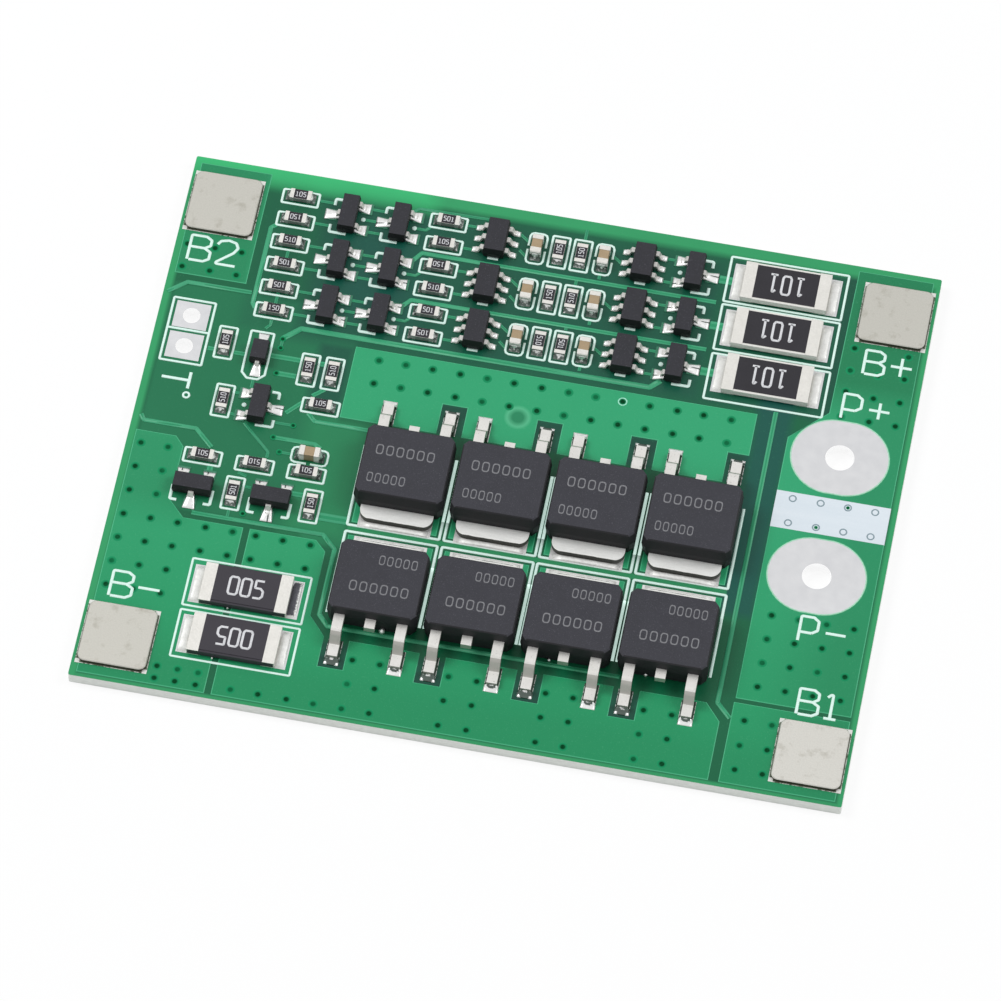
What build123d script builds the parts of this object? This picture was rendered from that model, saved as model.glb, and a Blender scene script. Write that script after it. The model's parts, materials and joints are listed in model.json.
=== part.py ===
from build123d import *
import math
import os

# Battery management board for three cells in series, with every part on its upper side.
# Millimetres, +Z up. The origin lies on the underside, below the middle of the outline.
# +X runs along the long side and +Y from the shunt resistors to the balancing rows.

os.makedirs("parts", exist_ok=True)

# Laminate, its copper lands and the plating of its holes
board_thickness = 1.0
board_corner = 0.15
land_thickness = 0.05
plating_wall = 0.17

# Power transistor: moulded case
case_width = 6.6
case_length = 5.9
case_height = 2.3
case_draft = 5.0
case_corner_across = 0.35
case_corner_along = 0.4
case_edge = 0.08

# Power transistor: drain slug and bent leads, all cut from one lead frame
slug_width = 5.35
slug_reach = 1.05
slug_depth = 4.5
slug_thickness = 0.5
slug_corner = 0.8
lead_width = 0.76
lead_thickness = 0.5
lead_pitch = 2.29
lead_height = 1.25
lead_reach = 2.9
lead_shoulder = 1.25
lead_foot = 1.1
lead_root = 1.0
lead_bend = 0.4
stub_reach = 0.75
slug_land_margin = 0.5
lead_land_margin = 0.48
lead_land_side = 0.15

# Two rows of power transistors, tab to tab
case_gap = 0.44
transistors_in_row = 4
tab_row_gap = 1.8

# Three-leg and six-leg small packages
small_length = 2.9
small_width = 1.3
small_height = 1.0
controller_width = 1.6
controller_height = 1.1
small_standoff = 0.05
small_draft = 7.0
small_pitch = 0.95
small_lead_width = 0.4
small_lead_thickness = 0.12
small_lead_reach = 0.55
small_lead_foot = 0.25
small_lead_shoulder = 0.12
small_lead_height = 0.5
small_land_inside = 0.35
small_land_toe = 0.45
small_land_side = 0.27
controller_lead_reach = 0.62
controller_lead_shoulder = 0.2
controller_land_inside = 0.26
controller_land_toe = 0.27
controller_land_side = 0.05

# Diode in a two-leg package
diode_length = 1.7
diode_width = 1.25
diode_height = 0.95
diode_lead_width = 0.3
diode_lead_reach = 0.45

# Small chip resistors and capacitors
chip_length = 1.6
chip_width = 0.8
chip_resistor_height = 0.45
chip_capacitor_height = 0.8
chip_resistor_end = 0.3
chip_capacitor_end = 0.43
chip_capacitor_chamfer = 0.07
chip_capacitor_step = 0.03
chip_coat_margin = 0.02
chip_coat_thickness = 0.03
chip_land_length = 0.64
chip_land_toe = 0.34
chip_land_side = 0.05

# Large chip resistors: three balancing resistors and two current shunts
power_length = 6.4
power_width = 3.15
power_height = 0.6
power_end = 0.87
power_metal = 0.06
power_coat_margin = 0.17
power_coat_thickness = 0.05
power_land_length = 1.8
power_land_toe = 0.8

# Nickel tabs that the cell leads are welded to
tab_size = 5.0
tab_thickness = 0.3
tab_corner = 0.55
tab_edge = 0.06
tab_land_margin = 0.12
tab_side_margin = 0.36
tab_front_margin = 1.2
tab_back_margin = 1.4

# Output pads with their holes, from the right and the front edge
output_pad_length = 7.15
output_pad_width = 6.2
output_hole_radius = 1.07
output_pad_inset = 4.87
output_negative_y = 18.32
output_pad_pitch = 10.13

# Thermistor pads with their holes, from the left and the front edge
thermistor_pad_length = 2.55
thermistor_pad_width = 2.25
thermistor_hole_radius = 0.65
thermistor_x = 2.48
thermistor_front_y = 28.58
thermistor_pitch = 2.65

# Zones of the board, from the front edge back and from the left edge to the right
foot_margin = 4.85
plane_zone_width = 7.46
balance_row_gap = 0.88
back_margin = 3.13
driver_zone_length = 17.0
output_zone_length = 10.84
tab_zone_length = 7.13
rows = 3

# Steps from column to column of a balancing row
gate_resistor_inset = 8.3
level_transistor_pitch = 3.8
bypass_transistor_pitch = 3.85
sense_resistor_pitch = 3.48
protection_chip_pitch = 3.77
filter_resistor_offset = 4.7
filter_pitch = 1.65
filter_capacitor_pitch = 1.68
balance_chip_pitch = 2.97
balance_transistor_pitch = 3.85
balance_resistor_pitch = 6.82

# What the zones add up to
case_pitch = case_width + case_gap
transistor_length = slug_reach + case_length + lead_reach
balance_pitch = power_width + balance_row_gap
transistor_block_end = driver_zone_length + transistors_in_row * case_pitch
front_tab_end_y = foot_margin + transistor_length
back_tab_end_y = front_tab_end_y + tab_row_gap
first_row_y = back_tab_end_y + transistor_length + plane_zone_width
row_places = [first_row_y + balance_pitch * row for row in range(rows)]
board_width = row_places[-1] + back_margin
land_top = board_thickness + land_thickness

# Columns of a balancing row, from the left edge on
gate_resistor_x = gate_resistor_inset
level_transistor_x = gate_resistor_x + level_transistor_pitch
bypass_transistor_x = level_transistor_x + bypass_transistor_pitch
sense_resistor_x = bypass_transistor_x + sense_resistor_pitch
protection_chip_x = sense_resistor_x + protection_chip_pitch
first_filter_x = protection_chip_x + filter_resistor_offset
second_filter_x = first_filter_x + filter_pitch
filter_resistor_x = [first_filter_x, second_filter_x]
filter_capacitor_x = [first_filter_x - filter_capacitor_pitch, second_filter_x + filter_capacitor_pitch]
balance_chip_x = second_filter_x + filter_capacitor_pitch + balance_chip_pitch
balance_transistor_x = balance_chip_x + balance_transistor_pitch
balance_resistor_x = balance_transistor_x + balance_resistor_pitch
balance_row_end = balance_resistor_x + power_length / 2 + power_land_toe

# The board is long enough for the power row and for the balancing row
board_length = max(transistor_block_end + output_zone_length, balance_row_end + tab_zone_length)

# Places in the driver zone, from the left and the front edge, with the turn of each part
driver_resistors = [
    (5.4, 29.45, 90), (11.8, 28.3, 90), (13.6, 28.3, 90), (13.28, 25.42, 0), (6.2, 24.55, 90),
    (13.4, 19.67, 0), (9.57, 19.65, 0), (5.73, 19.65, 0), (8.5, 17.0, 90), (14.25, 17.0, 90),
]
driver_capacitors = [(13.35, 21.1, 0)]
driver_transistors = [(8.9, 24.5, 180), (5.58, 16.9, 90), (11.3, 16.9, 90)]
diode_place = (8.05, 28.87, 90)
shunt_places = [(11.13, 9.1, 0), (11.13, 4.9, 180)]


def spot(x, y, turn=0, z=board_thickness):
    """A place on the board, from its left and front edge, turned about the vertical."""
    return Location((x - board_length / 2, y - board_width / 2, z), (0, 0, turn))


def block(x_low, x_high, width, z_low, z_high):
    """A square-cut block between two x and two z values, centred on y = 0."""
    middle = Location(((x_low + x_high) / 2, 0, z_low))
    return middle * Box(x_high - x_low, width, z_high - z_low, align=(Align.CENTER, Align.CENTER, Align.MIN))


def clipped_outline(width, length, across, along):
    """A rectangle whose four corners are cut off, by one length across and another along."""
    if not across:
        return Rectangle(width, length)
    x = width / 2
    y = length / 2
    points = [
        (across - x, -y), (x - across, -y), (x, along - y), (x, y - along),
        (x - across, y), (across - x, y), (-x, y - along), (-x, along - y),
    ]
    return Polygon(*points, align=None)


def moulded_case(width, length, low, parting, high, draft, across=0, along=0, edge=0):
    """A case that narrows above and below its parting line; edge breaks its upper edge."""
    lean = math.tan(math.radians(draft))

    def section(height, inset):
        inset += abs(height - parting) * lean
        outline = clipped_outline(width - 2 * inset, length - 2 * inset, across, along)
        return Pos(0, 0, height) * outline

    lower = loft([section(low, 0), section(parting, 0)], ruled=True)
    upper = loft([section(parting, 0), section(high - edge, 0)], ruled=True)
    if not edge:
        return lower + upper
    rim = loft([section(high - edge, 0), section(high, edge)], ruled=True)
    return lower + upper + rim


def bent_strip(points, thickness, width, bend):
    """A flat strip that follows (y, z) points, with rounded bends if bend is not zero."""
    line = FilletPolyline(*points, radius=bend) if bend else Polyline(*points)
    return extrude(Plane.YZ * trace(line, thickness), width / 2, both=True)


def gull_wing(start, root, shoulder, reach, foot, height, thickness, width, bend=0):
    """A lead that leaves a case at y = start, drops to the land and ends in a flat foot."""
    points = [
        (start - root, height),
        (start + shoulder, height),
        (start + reach - foot, thickness / 2),
        (start + reach, thickness / 2),
    ]
    return bent_strip(points, thickness, width, bend)


def power_transistor():
    """The case and the three metal parts of one power transistor, slug towards +Y."""
    case_front = case_length / 2
    case = moulded_case(case_width, case_length, 0, lead_height, case_height, case_draft,
                        case_corner_across, case_corner_along, case_edge)
    slug_end = case_front + slug_reach
    plate = Pos(0, slug_end - (slug_reach + slug_depth) / 2) * Rectangle(slug_width, slug_reach + slug_depth)
    plate = fillet(plate.vertices().group_by(Axis.Y)[-1], slug_corner)
    slug = extrude(plate, slug_thickness)
    riser_y = slug_end - slug_reach - slug_depth
    stub_line = [
        (riser_y + lead_bend + lead_width, slug_thickness / 2),
        (riser_y, slug_thickness / 2),
        (riser_y - lead_bend, lead_height),
        (-case_front - stub_reach, lead_height),
    ]
    slug += bent_strip(stub_line, slug_thickness, lead_width, 0)
    lead = gull_wing(case_front, lead_root, lead_shoulder, lead_reach, lead_foot, lead_height,
                     lead_thickness, lead_width, lead_bend)
    lead = Rot(0, 0, 180) * lead
    leads = [Pos(side * lead_pitch) * lead for side in (-1, 1)]
    metal = [slug] + leads
    for piece in metal:
        case -= piece
    return case, metal


def power_transistor_lands():
    """The large land below the slug and the two below the feet."""
    slug_outline = Rectangle(slug_width, slug_reach + slug_depth + slug_land_margin)
    slug_middle = case_length / 2 + slug_reach - (slug_reach + slug_depth - slug_land_margin) / 2
    lands = [extrude(Pos(0, slug_middle) * slug_outline, land_thickness)]
    foot_length = lead_foot + 2 * lead_land_margin
    foot_middle = -case_length / 2 - lead_reach + lead_foot / 2
    foot_land = extrude(Rectangle(lead_width + 2 * lead_land_side, foot_length), land_thickness)
    return lands + [Pos(side * lead_pitch, foot_middle) * foot_land for side in (-1, 1)]


def small_package(width, length, height, legs, lead_across, lead_reach_out, shoulder):
    """A small sealed case with thin bent legs against its walls, each given as (side, place along Y)."""
    case = moulded_case(width, length, small_standoff, small_lead_height, height, small_draft)
    leg = gull_wing(width / 2, 0, shoulder, lead_reach_out, small_lead_foot,
                    small_lead_height, small_lead_thickness, lead_across)
    leads = [Pos(0, along) * (Rot(0, 0, -90 * side) * leg) for side, along in legs]
    return case, leads


def small_lands(width, legs, reach, across, inside, toe):
    """One land below each foot of a small package."""
    foot_end = width / 2 + reach
    land = block(foot_end - inside, foot_end + toe, across, 0, land_thickness)
    return [Rot(0, 0, 0 if side > 0 else 180) * (Pos(0, side * along) * land) for side, along in legs]


def chip_resistor(length, width, height, end, metal, coat_margin, coat_thickness):
    """Core, coat and ends of a chip resistor along X; metal is the wrapped ends' wall, or 0 for solid ends."""
    core_top = height - coat_thickness
    core_end = length / 2 - (metal or end)
    core = block(-core_end, core_end, width, metal, core_top)
    end_skin = block(length / 2 - end, length / 2, width, 0, height)
    wrapped = [Rot(0, 0, turn) * end_skin - core for turn in (0, 180)]
    coat = block(-length / 2 + end, length / 2 - end, width - 2 * coat_margin, core_top, height)
    return core, coat, wrapped


def chip_capacitor():
    """Ceramic block between two dipped metal ends, along X."""
    half = chip_length / 2
    body = block(chip_capacitor_end - half, half - chip_capacitor_end, chip_width - 2 * chip_capacitor_step,
                 chip_capacitor_step, chip_capacitor_height - chip_capacitor_step)
    end = block(half - chip_capacitor_end, half, chip_width, 0, chip_capacitor_height)
    end = chamfer(end.faces().sort_by(Axis.X)[-1].edges(), chip_capacitor_chamfer)
    return body, [Rot(0, 0, turn) * end for turn in (0, 180)]


def end_lands(length, width, land_length, toe):
    """Two lands below the ends of a chip along X."""
    land = block(length / 2 + toe - land_length, length / 2 + toe, width, 0, land_thickness)
    return [Rot(0, 0, turn) * land for turn in (0, 180)]


def plated_pad(outline, hole_radius):
    """A pad on both sides of the board, joined by the plated wall of its hole."""
    ring = outline - Circle(hole_radius)
    wall = Circle(hole_radius + plating_wall) - Circle(hole_radius)
    upper = Pos(0, 0, board_thickness) * extrude(ring, land_thickness)
    return extrude(ring, land_thickness) + extrude(wall, board_thickness) + upper


def pad_seat(outline, hole_radius):
    """What a plated pad takes out of the board: its lower pad, let in flush, and its hole."""
    return extrude(outline, land_thickness) + extrude(Circle(hole_radius + plating_wall), board_thickness)


nodes = {}


def keep(name, solids):
    """File one solid, or a group of separate solids, under the name of its node."""
    nodes.setdefault(name, []).extend(solids if isinstance(solids, list) else [solids])


def place_all(name, solids, location):
    """Put copies of some solids at one place and file them."""
    keep(name, [location * solid for solid in solids])


# Output and thermistor pads, with what they need from the board
output_outline = SlotOverall(output_pad_length, output_pad_width)
thermistor_outline = Rectangle(thermistor_pad_length, thermistor_pad_width)
output_x = board_length - output_pad_inset
output_places = {
    "output_pad_negative": spot(output_x, output_negative_y, z=0),
    "output_pad_positive": spot(output_x, output_negative_y + output_pad_pitch, z=0),
}
thermistor_rows = [thermistor_front_y, thermistor_front_y + thermistor_pitch]
thermistor_places = [spot(thermistor_x, y, z=0) for y in thermistor_rows]

board = extrude(RectangleRounded(board_length, board_width, board_corner), board_thickness)
for name, place in output_places.items():
    board -= place * pad_seat(output_outline, output_hole_radius)
    keep(name, place * plated_pad(output_outline, output_hole_radius))
for place in thermistor_places:
    board -= place * pad_seat(thermistor_outline, thermistor_hole_radius)
    keep("thermistor_pads", place * plated_pad(thermistor_outline, thermistor_hole_radius))
keep("circuit_board", board)

# Nickel tabs on their lands, one near each corner
tab = extrude(RectangleRounded(tab_size, tab_size, tab_corner), tab_thickness)
tab = chamfer(tab.faces().sort_by(Axis.Z)[-1].edges(), tab_edge)
tab_land_size = tab_size + 2 * tab_land_margin
tab_land = extrude(Rectangle(tab_land_size, tab_land_size), land_thickness)
tab_left_x = tab_side_margin + tab_size / 2
tab_right_x = board_length - tab_left_x
tab_front_y = tab_front_margin + tab_size / 2
tab_back_y = board_width - tab_back_margin - tab_size / 2
tab_places = {
    "cell_tab_b_minus": (tab_left_x, tab_front_y),
    "cell_tab_b1": (tab_right_x, tab_front_y),
    "cell_tab_b2": (tab_left_x, tab_back_y),
    "cell_tab_b_plus": (tab_right_x, tab_back_y),
}
for name, (x, y) in tab_places.items():
    keep(name, spot(x, y, z=land_top) * tab)
    keep("cell_tab_lands", spot(x, y) * tab_land)

# Power transistors: the front row has its leads towards the front edge, the back row is turned
transistor_case, transistor_metal = power_transistor()
transistor_lands = power_transistor_lands()
front_row_y = foot_margin + lead_reach + case_length / 2
back_row_y = back_tab_end_y + slug_reach + case_length / 2
for row, (row_y, turn) in enumerate([(front_row_y, 0), (back_row_y, 180)]):
    for column in range(transistors_in_row):
        number = row * transistors_in_row + column + 1
        x = driver_zone_length + case_pitch * (column + 0.5)
        place_all(f"power_transistor_{number}_case", [transistor_case], spot(x, row_y, turn, land_top))
        place_all(f"power_transistor_{number}_leads", transistor_metal, spot(x, row_y, turn, land_top))
        place_all("power_transistor_lands", transistor_lands, spot(x, row_y, turn))

# Small packages: three legs, six legs, and the diode with its two
three_legs = [(-1, 0), (1, -small_pitch), (1, small_pitch)]
six_legs = [(side, step * small_pitch) for side in (-1, 1) for step in (-1, 0, 1)]
two_legs = [(-1, 0), (1, 0)]
small_case, small_leads = small_package(
    small_width, small_length, small_height, three_legs, small_lead_width, small_lead_reach,
    small_lead_shoulder)
chip_case, chip_leads = small_package(
    controller_width, small_length, controller_height, six_legs, small_lead_width, controller_lead_reach,
    controller_lead_shoulder)
diode_case, diode_leads = small_package(
    diode_length, diode_width, diode_height, two_legs, diode_lead_width, diode_lead_reach,
    small_lead_shoulder)
three_lands = small_lands(
    small_width, three_legs, small_lead_reach, small_lead_width + 2 * small_land_side,
    small_land_inside, small_land_toe)
six_lands = small_lands(
    controller_width, six_legs, controller_lead_reach, small_lead_width + 2 * controller_land_side,
    controller_land_inside, controller_land_toe)
diode_lands = small_lands(
    diode_length, two_legs, diode_lead_reach, diode_lead_width + 2 * small_land_side,
    small_land_inside, small_land_toe)


def place_package(case_name, lead_name, package, x, y, turn=0):
    """Put one small package, given as its case, leads and lands, at a place."""
    case, leads, lands = package
    place_all(case_name, [case], spot(x, y, turn, land_top))
    place_all(lead_name, leads, spot(x, y, turn, land_top))
    place_all("small_package_lands", lands, spot(x, y, turn))


three_leg_package = (small_case, small_leads, three_lands)
six_leg_package = (chip_case, chip_leads, six_lands)
diode_package = (diode_case, diode_leads, diode_lands)
transistor_places = {
    "level_transistor": [(x, y, 0) for y in row_places for x in (level_transistor_x, bypass_transistor_x)],
    "balance_transistor": [(balance_transistor_x, y, 180) for y in row_places],
    "driver_transistor": driver_transistors,
}
for name, places in transistor_places.items():
    for place in places:
        place_package(f"{name}_cases", f"{name}_leads", three_leg_package, *place)
for name, x in (("protection_chip", protection_chip_x), ("balance_chip", balance_chip_x)):
    for number, y in enumerate(row_places, start=1):
        place_package(f"{name}_{number}_case", f"{name}_{number}_leads", six_leg_package, x, y)
place_package("gate_diode_case", "gate_diode_leads", diode_package, *diode_place)

# Small chip resistors and capacitors
chip_lands = end_lands(chip_length, chip_width + 2 * chip_land_side, chip_land_length, chip_land_toe)
chip_core, chip_coat, chip_ends = chip_resistor(
    chip_length, chip_width, chip_resistor_height, chip_resistor_end, 0, chip_coat_margin,
    chip_coat_thickness)
capacitor_body, capacitor_ends = chip_capacitor()
resistor_places = list(driver_resistors)
capacitor_places = list(driver_capacitors)
for y in row_places:
    for x in (gate_resistor_x, sense_resistor_x):
        resistor_places += [(x, y + side * balance_pitch / 4, 0) for side in (-1, 1)]
    resistor_places += [(x, y, 90) for x in filter_resistor_x]
    capacitor_places += [(x, y, 90) for x in filter_capacitor_x]
for x, y, turn in resistor_places:
    place_all("chip_resistor_cores", [chip_core], spot(x, y, turn, land_top))
    place_all("chip_resistor_coats", [chip_coat], spot(x, y, turn, land_top))
    place_all("chip_resistor_ends", chip_ends, spot(x, y, turn, land_top))
for x, y, turn in capacitor_places:
    place_all("capacitor_bodies", [capacitor_body], spot(x, y, turn, land_top))
    place_all("capacitor_ends", capacitor_ends, spot(x, y, turn, land_top))
for x, y, turn in resistor_places + capacitor_places:
    place_all("chip_lands", chip_lands, spot(x, y, turn))

# Large chip resistors
power_core, power_coat, power_ends = chip_resistor(
    power_length, power_width, power_height, power_end, power_metal, power_coat_margin,
    power_coat_thickness)
power_lands = end_lands(power_length, power_width, power_land_length, power_land_toe)
power_places = {
    "balance_resistor": [(balance_resistor_x, y, 180) for y in row_places],
    "shunt_resistor": shunt_places,
}
for name, places in power_places.items():
    for x, y, turn in places:
        place_all(name + "_cores", [power_core], spot(x, y, turn, land_top))
        place_all(name + "_coats", [power_coat], spot(x, y, turn, land_top))
        place_all(name + "_ends", power_ends, spot(x, y, turn, land_top))
        place_all("power_resistor_lands", power_lands, spot(x, y, turn))

# One file for each node
for name, solids in nodes.items():
    shape = solids[0] if len(solids) == 1 else Compound(children=solids)
    export_step(shape, f"parts/{name}.step")
print(f"{len(nodes)} nodes, board {board_length:.2f} x {board_width:.2f} mm")
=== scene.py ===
# %% [markdown]
# A battery management board, dressed for its portrait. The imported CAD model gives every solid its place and
# size, and this script adds what a circuit board shows up close: copper under green mask, printed marks,
# solder and the finish of each material. The CAD parts are loaded first, because everything else is set
# out from them.

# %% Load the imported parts
import json
import math
from functools import reduce

import bpy
import numpy as np
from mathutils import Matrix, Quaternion, Vector
from mathutils.geometry import tessellate_polygon


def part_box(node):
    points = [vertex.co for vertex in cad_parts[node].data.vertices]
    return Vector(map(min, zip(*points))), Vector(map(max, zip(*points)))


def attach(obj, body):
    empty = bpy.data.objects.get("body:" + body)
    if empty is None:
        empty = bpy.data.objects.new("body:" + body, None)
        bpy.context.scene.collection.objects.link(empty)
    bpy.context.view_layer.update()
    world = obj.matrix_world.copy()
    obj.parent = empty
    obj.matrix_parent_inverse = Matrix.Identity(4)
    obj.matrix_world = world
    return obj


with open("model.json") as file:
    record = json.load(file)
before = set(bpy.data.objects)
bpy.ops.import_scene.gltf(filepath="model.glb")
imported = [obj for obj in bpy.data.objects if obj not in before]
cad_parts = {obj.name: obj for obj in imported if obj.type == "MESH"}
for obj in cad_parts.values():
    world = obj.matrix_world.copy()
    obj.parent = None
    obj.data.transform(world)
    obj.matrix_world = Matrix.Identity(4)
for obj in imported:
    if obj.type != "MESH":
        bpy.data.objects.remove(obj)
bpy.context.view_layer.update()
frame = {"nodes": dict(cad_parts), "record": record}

# %% [markdown]
# Boards are drawn in millimetres from one corner, so the script does the same. `at` turns such a drawing
# position, with its height over the top face, into a place in the scene. `solids` splits a CAD node into its
# separate bodies, since forty equal lands share one node, and gives the box of each in drawing millimetres.
# Marks and solder can then be set out from the real parts instead of from typed positions.

# %% Drawing positions
MM = 0.001
board_low, board_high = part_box("circuit_board")
corner = Vector((board_low.x, board_low.y, board_high.z))


def at(x, y, z=0.0):
    return corner + Vector((x, y, z)) * MM


def stand(name, data):
    """Puts some data into the scene as an object."""
    made = bpy.data.objects.new(name, data)
    bpy.context.scene.collection.objects.link(made)
    return made


def new_mesh(name, points, edges=(), faces=()):
    mesh = bpy.data.meshes.new(name)
    mesh.from_pydata(points, edges, faces)
    return mesh


# %% Boxes of separate solids
class Box:
    """The box of one solid, in millimetres from the board's corner and top face."""

    def __init__(self, low, high):
        self.low, self.high = low, high
        self.middle = [(a + b) / 2 for a, b in zip(low, high)]
        self.size = [b - a for a, b in zip(low, high)]
        self.along_x = self.size[0] > self.size[1]

    def distance(self, other):
        return math.hypot(self.middle[0] - other.middle[0], self.middle[1] - other.middle[1])


def solids(*nodes):
    """The box of every body in some nodes. Points that share a face end up with the same label."""
    found = []
    for node in nodes:
        mesh = frame["nodes"][node].data
        spots = (np.array([vertex.co for vertex in mesh.vertices]) - np.array(corner)) / MM
        merged, where = np.unique(np.round(spots, 3), axis=0, return_inverse=True)
        faces = where.ravel()[[end for face in mesh.polygons for end in face.vertices]].reshape(-1, 3)
        label, before = np.arange(len(merged)), None
        while before is None or (label != before).any():
            before = label.copy()
            np.minimum.at(label, faces.ravel(), np.repeat(label[faces].min(axis=1), 3))
            label = label[label]
        for name in np.unique(label):
            members = merged[label == name]
            found.append(Box(members.min(axis=0).tolist(), members.max(axis=0).tolist()))
    return found


power_cases = [solids(f"power_transistor_{k}_case")[0] for k in range(1, 9)]
print("board, mm:", [round(v / MM, 2) for v in board_high - board_low])
print("power cases at x", [round(case.middle[0], 2) for case in power_cases])

# %% [markdown]
# The photograph was taken from far away with a long lens, so the board's sides stay almost parallel. The
# camera's place was worked out from the board's four corners. It is given here as an aim point, two angles,
# a distance and a slight roll, which is how a photographer would set it.

# %% Camera
camera_data = bpy.data.cameras.new("camera")
camera_data.lens = 289.75
camera_data.sensor_width = 36.0
camera_data.clip_start = 0.05
camera = stand("camera", camera_data)
bpy.context.scene.camera = camera

aim = Vector((-0.382, -2.335, 1.0)) * MM
distance = 582.87 * MM
azimuth, elevation, roll = (math.radians(angle) for angle in (9.4407, 59.3275, 1.4985))
back = Vector((math.sin(azimuth) * math.cos(elevation), -math.cos(azimuth) * math.cos(elevation),
               math.sin(elevation)))
camera.rotation_mode = "QUATERNION"
camera.location = aim + back * distance
camera.rotation_quaternion = (-back).to_track_quat("-Z", "Y") @ Quaternion((0, 0, 1), roll)
print("camera at", [round(v, 3) for v in camera.location])

# %% [markdown]
# Shader sums are easier to read as Python sums than as rows of nodes. `Wire` wraps a socket, and its
# operators add Math nodes. `Bench` wraps a node tree and has one method that adds any other node. The same
# two classes build the Geometry Nodes trees further down. Colours are written as they would be picked from a
# screen, 0 to 255, and `tone` turns them into the linear values that Blender computes with.

# %% Wires and benches
def tone(*screen_values):
    linear = []
    for share in [value / 255 for value in screen_values]:
        linear.append(share / 12.92 if share <= 0.04045 else ((share + 0.055) / 1.055) ** 2.4)
    return (*linear, 1.0)


def maths(operation, swapped=False):
    """A Math node as a method of Wire, with its two sides swapped for a reflected operator."""
    def method(self, other=0.0):
        first, second = (other, self) if swapped else (self, other)
        return self.bench.node("ShaderNodeMath", {0: first, 1: second}, operation=operation)

    return method


class Wire:
    """A socket that can stand in a Python sum."""

    __add__, __radd__ = maths("ADD"), maths("ADD", True)
    __sub__, __rsub__ = maths("SUBTRACT"), maths("SUBTRACT", True)
    __mul__, __rmul__ = maths("MULTIPLY"), maths("MULTIPLY", True)
    __truediv__, __rtruediv__ = maths("DIVIDE"), maths("DIVIDE", True)
    __gt__, __lt__ = maths("GREATER_THAN"), maths("LESS_THAN")
    __mod__, __abs__ = maths("FLOORED_MODULO"), maths("ABSOLUTE")
    least, most = maths("MINIMUM"), maths("MAXIMUM")

    def __init__(self, bench, socket):
        self.bench, self.socket = bench, socket

    def output(self, name):
        return Wire(self.bench, self.socket.node.outputs[name])

    def clamp(self):
        return self.bench.node("ShaderNodeMath", {0: self, 1: 0.0}, operation="ADD", use_clamp=True)


class Bench:
    """A node tree with one way to add a node."""

    def __init__(self, tree):
        self.tree = tree
        tree.nodes.clear()

    def node(self, kind, sockets=None, out=0, **settings):
        made = self.tree.nodes.new(kind)
        for name, value in settings.items():
            setattr(made, name, value)
        for name, value in (sockets or {}).items():
            if isinstance(value, Wire):
                self.tree.links.new(value.socket, made.inputs[name])
            else:
                made.inputs[name].default_value = value
        return Wire(self, made.outputs[out]) if len(made.outputs) else None


# %% [markdown]
# The board lies on a plain white table between two soft lamps, with pale surroundings that fill the
# shadows. The lamps stand at the sides and a little behind the board, so upright walls that face the camera
# stay dark, as on the real cases, and flat metal doesn't mirror a lamp into the camera. The white that the
# camera and the metals see comes from the Light Path node and not from more light, so pale parts keep their
# colour.

# %% Table, lamps and surroundings
bpy.context.scene.view_settings.view_transform = "Standard"


def seen_by(bench, *kinds):
    """1 for a few kinds of ray, and 0 for the light that falls on the board."""
    path = bench.node("ShaderNodeLightPath")
    return reduce(Wire.most, [path.output(f"Is {kind} Ray") for kind in kinds])


table_mesh = new_mesh("table", [(-3, -3, 0), (3, -3, 0), (3, 3, 0), (-3, 3, 0)], [], [(0, 1, 2, 3)])
table = stand("table", table_mesh)

table_finish = bpy.data.materials.new("table_white")
table_finish.use_nodes = True
table_mesh.materials.append(table_finish)
bench = Bench(table_finish.node_tree)
paper = bench.node("ShaderNodeBsdfDiffuse", {"Color": (0.93, 0.93, 0.93, 1)})
glow = bench.node("ShaderNodeEmission", {"Color": (1, 1, 1, 1), "Strength": 1.0})
blend = bench.node("ShaderNodeMixShader", {0: seen_by(bench, "Camera", "Glossy") * 0.85, 1: paper, 2: glow})
bench.node("ShaderNodeOutputMaterial", {"Surface": blend})

world = bpy.data.worlds.new("surroundings")
bpy.context.scene.world = world
world.use_nodes = True
bench = Bench(world.node_tree)
shade = bench.node("ShaderNodeMix", {
    0: seen_by(bench, "Camera", "Glossy", "Transmission"), 6: (0.55, 0.56, 0.57, 1), 7: (0.97, 0.97, 0.97, 1),
}, 2, data_type="RGBA")
sky = bench.node("ShaderNodeBackground", {"Color": shade, "Strength": 1.0})
bench.node("ShaderNodeOutputWorld", {"Surface": sky})

for name, place, power in (("left_lamp", (-0.40, 0.08, 0.50), 1.7), ("right_lamp", (0.40, 0.12, 0.50), 1.1)):
    lamp_data = bpy.data.lights.new(name, "AREA")
    lamp_data.shape = "DISK"
    lamp_data.size = 0.30
    lamp_data.energy = power
    lamp = stand(name, lamp_data)
    lamp.location = place
    lamp.rotation_mode = "QUATERNION"
    lamp.rotation_quaternion = (-Vector(place)).to_track_quat("-Z", "Y")
print("table and lamps are set")

# %% [markdown]
# Each finish is a short rule that paints one material. Its painter offers what all of them need: noise with
# lumps of a size in millimetres, the drawing's own coordinates, soft rectangles on the drawing, a test for
# steep faces, and coats of one tone over another. `@finish` above a rule makes the material at once and keeps
# it on the rule, so another rule can still call it and change a little of what it gives.

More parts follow.
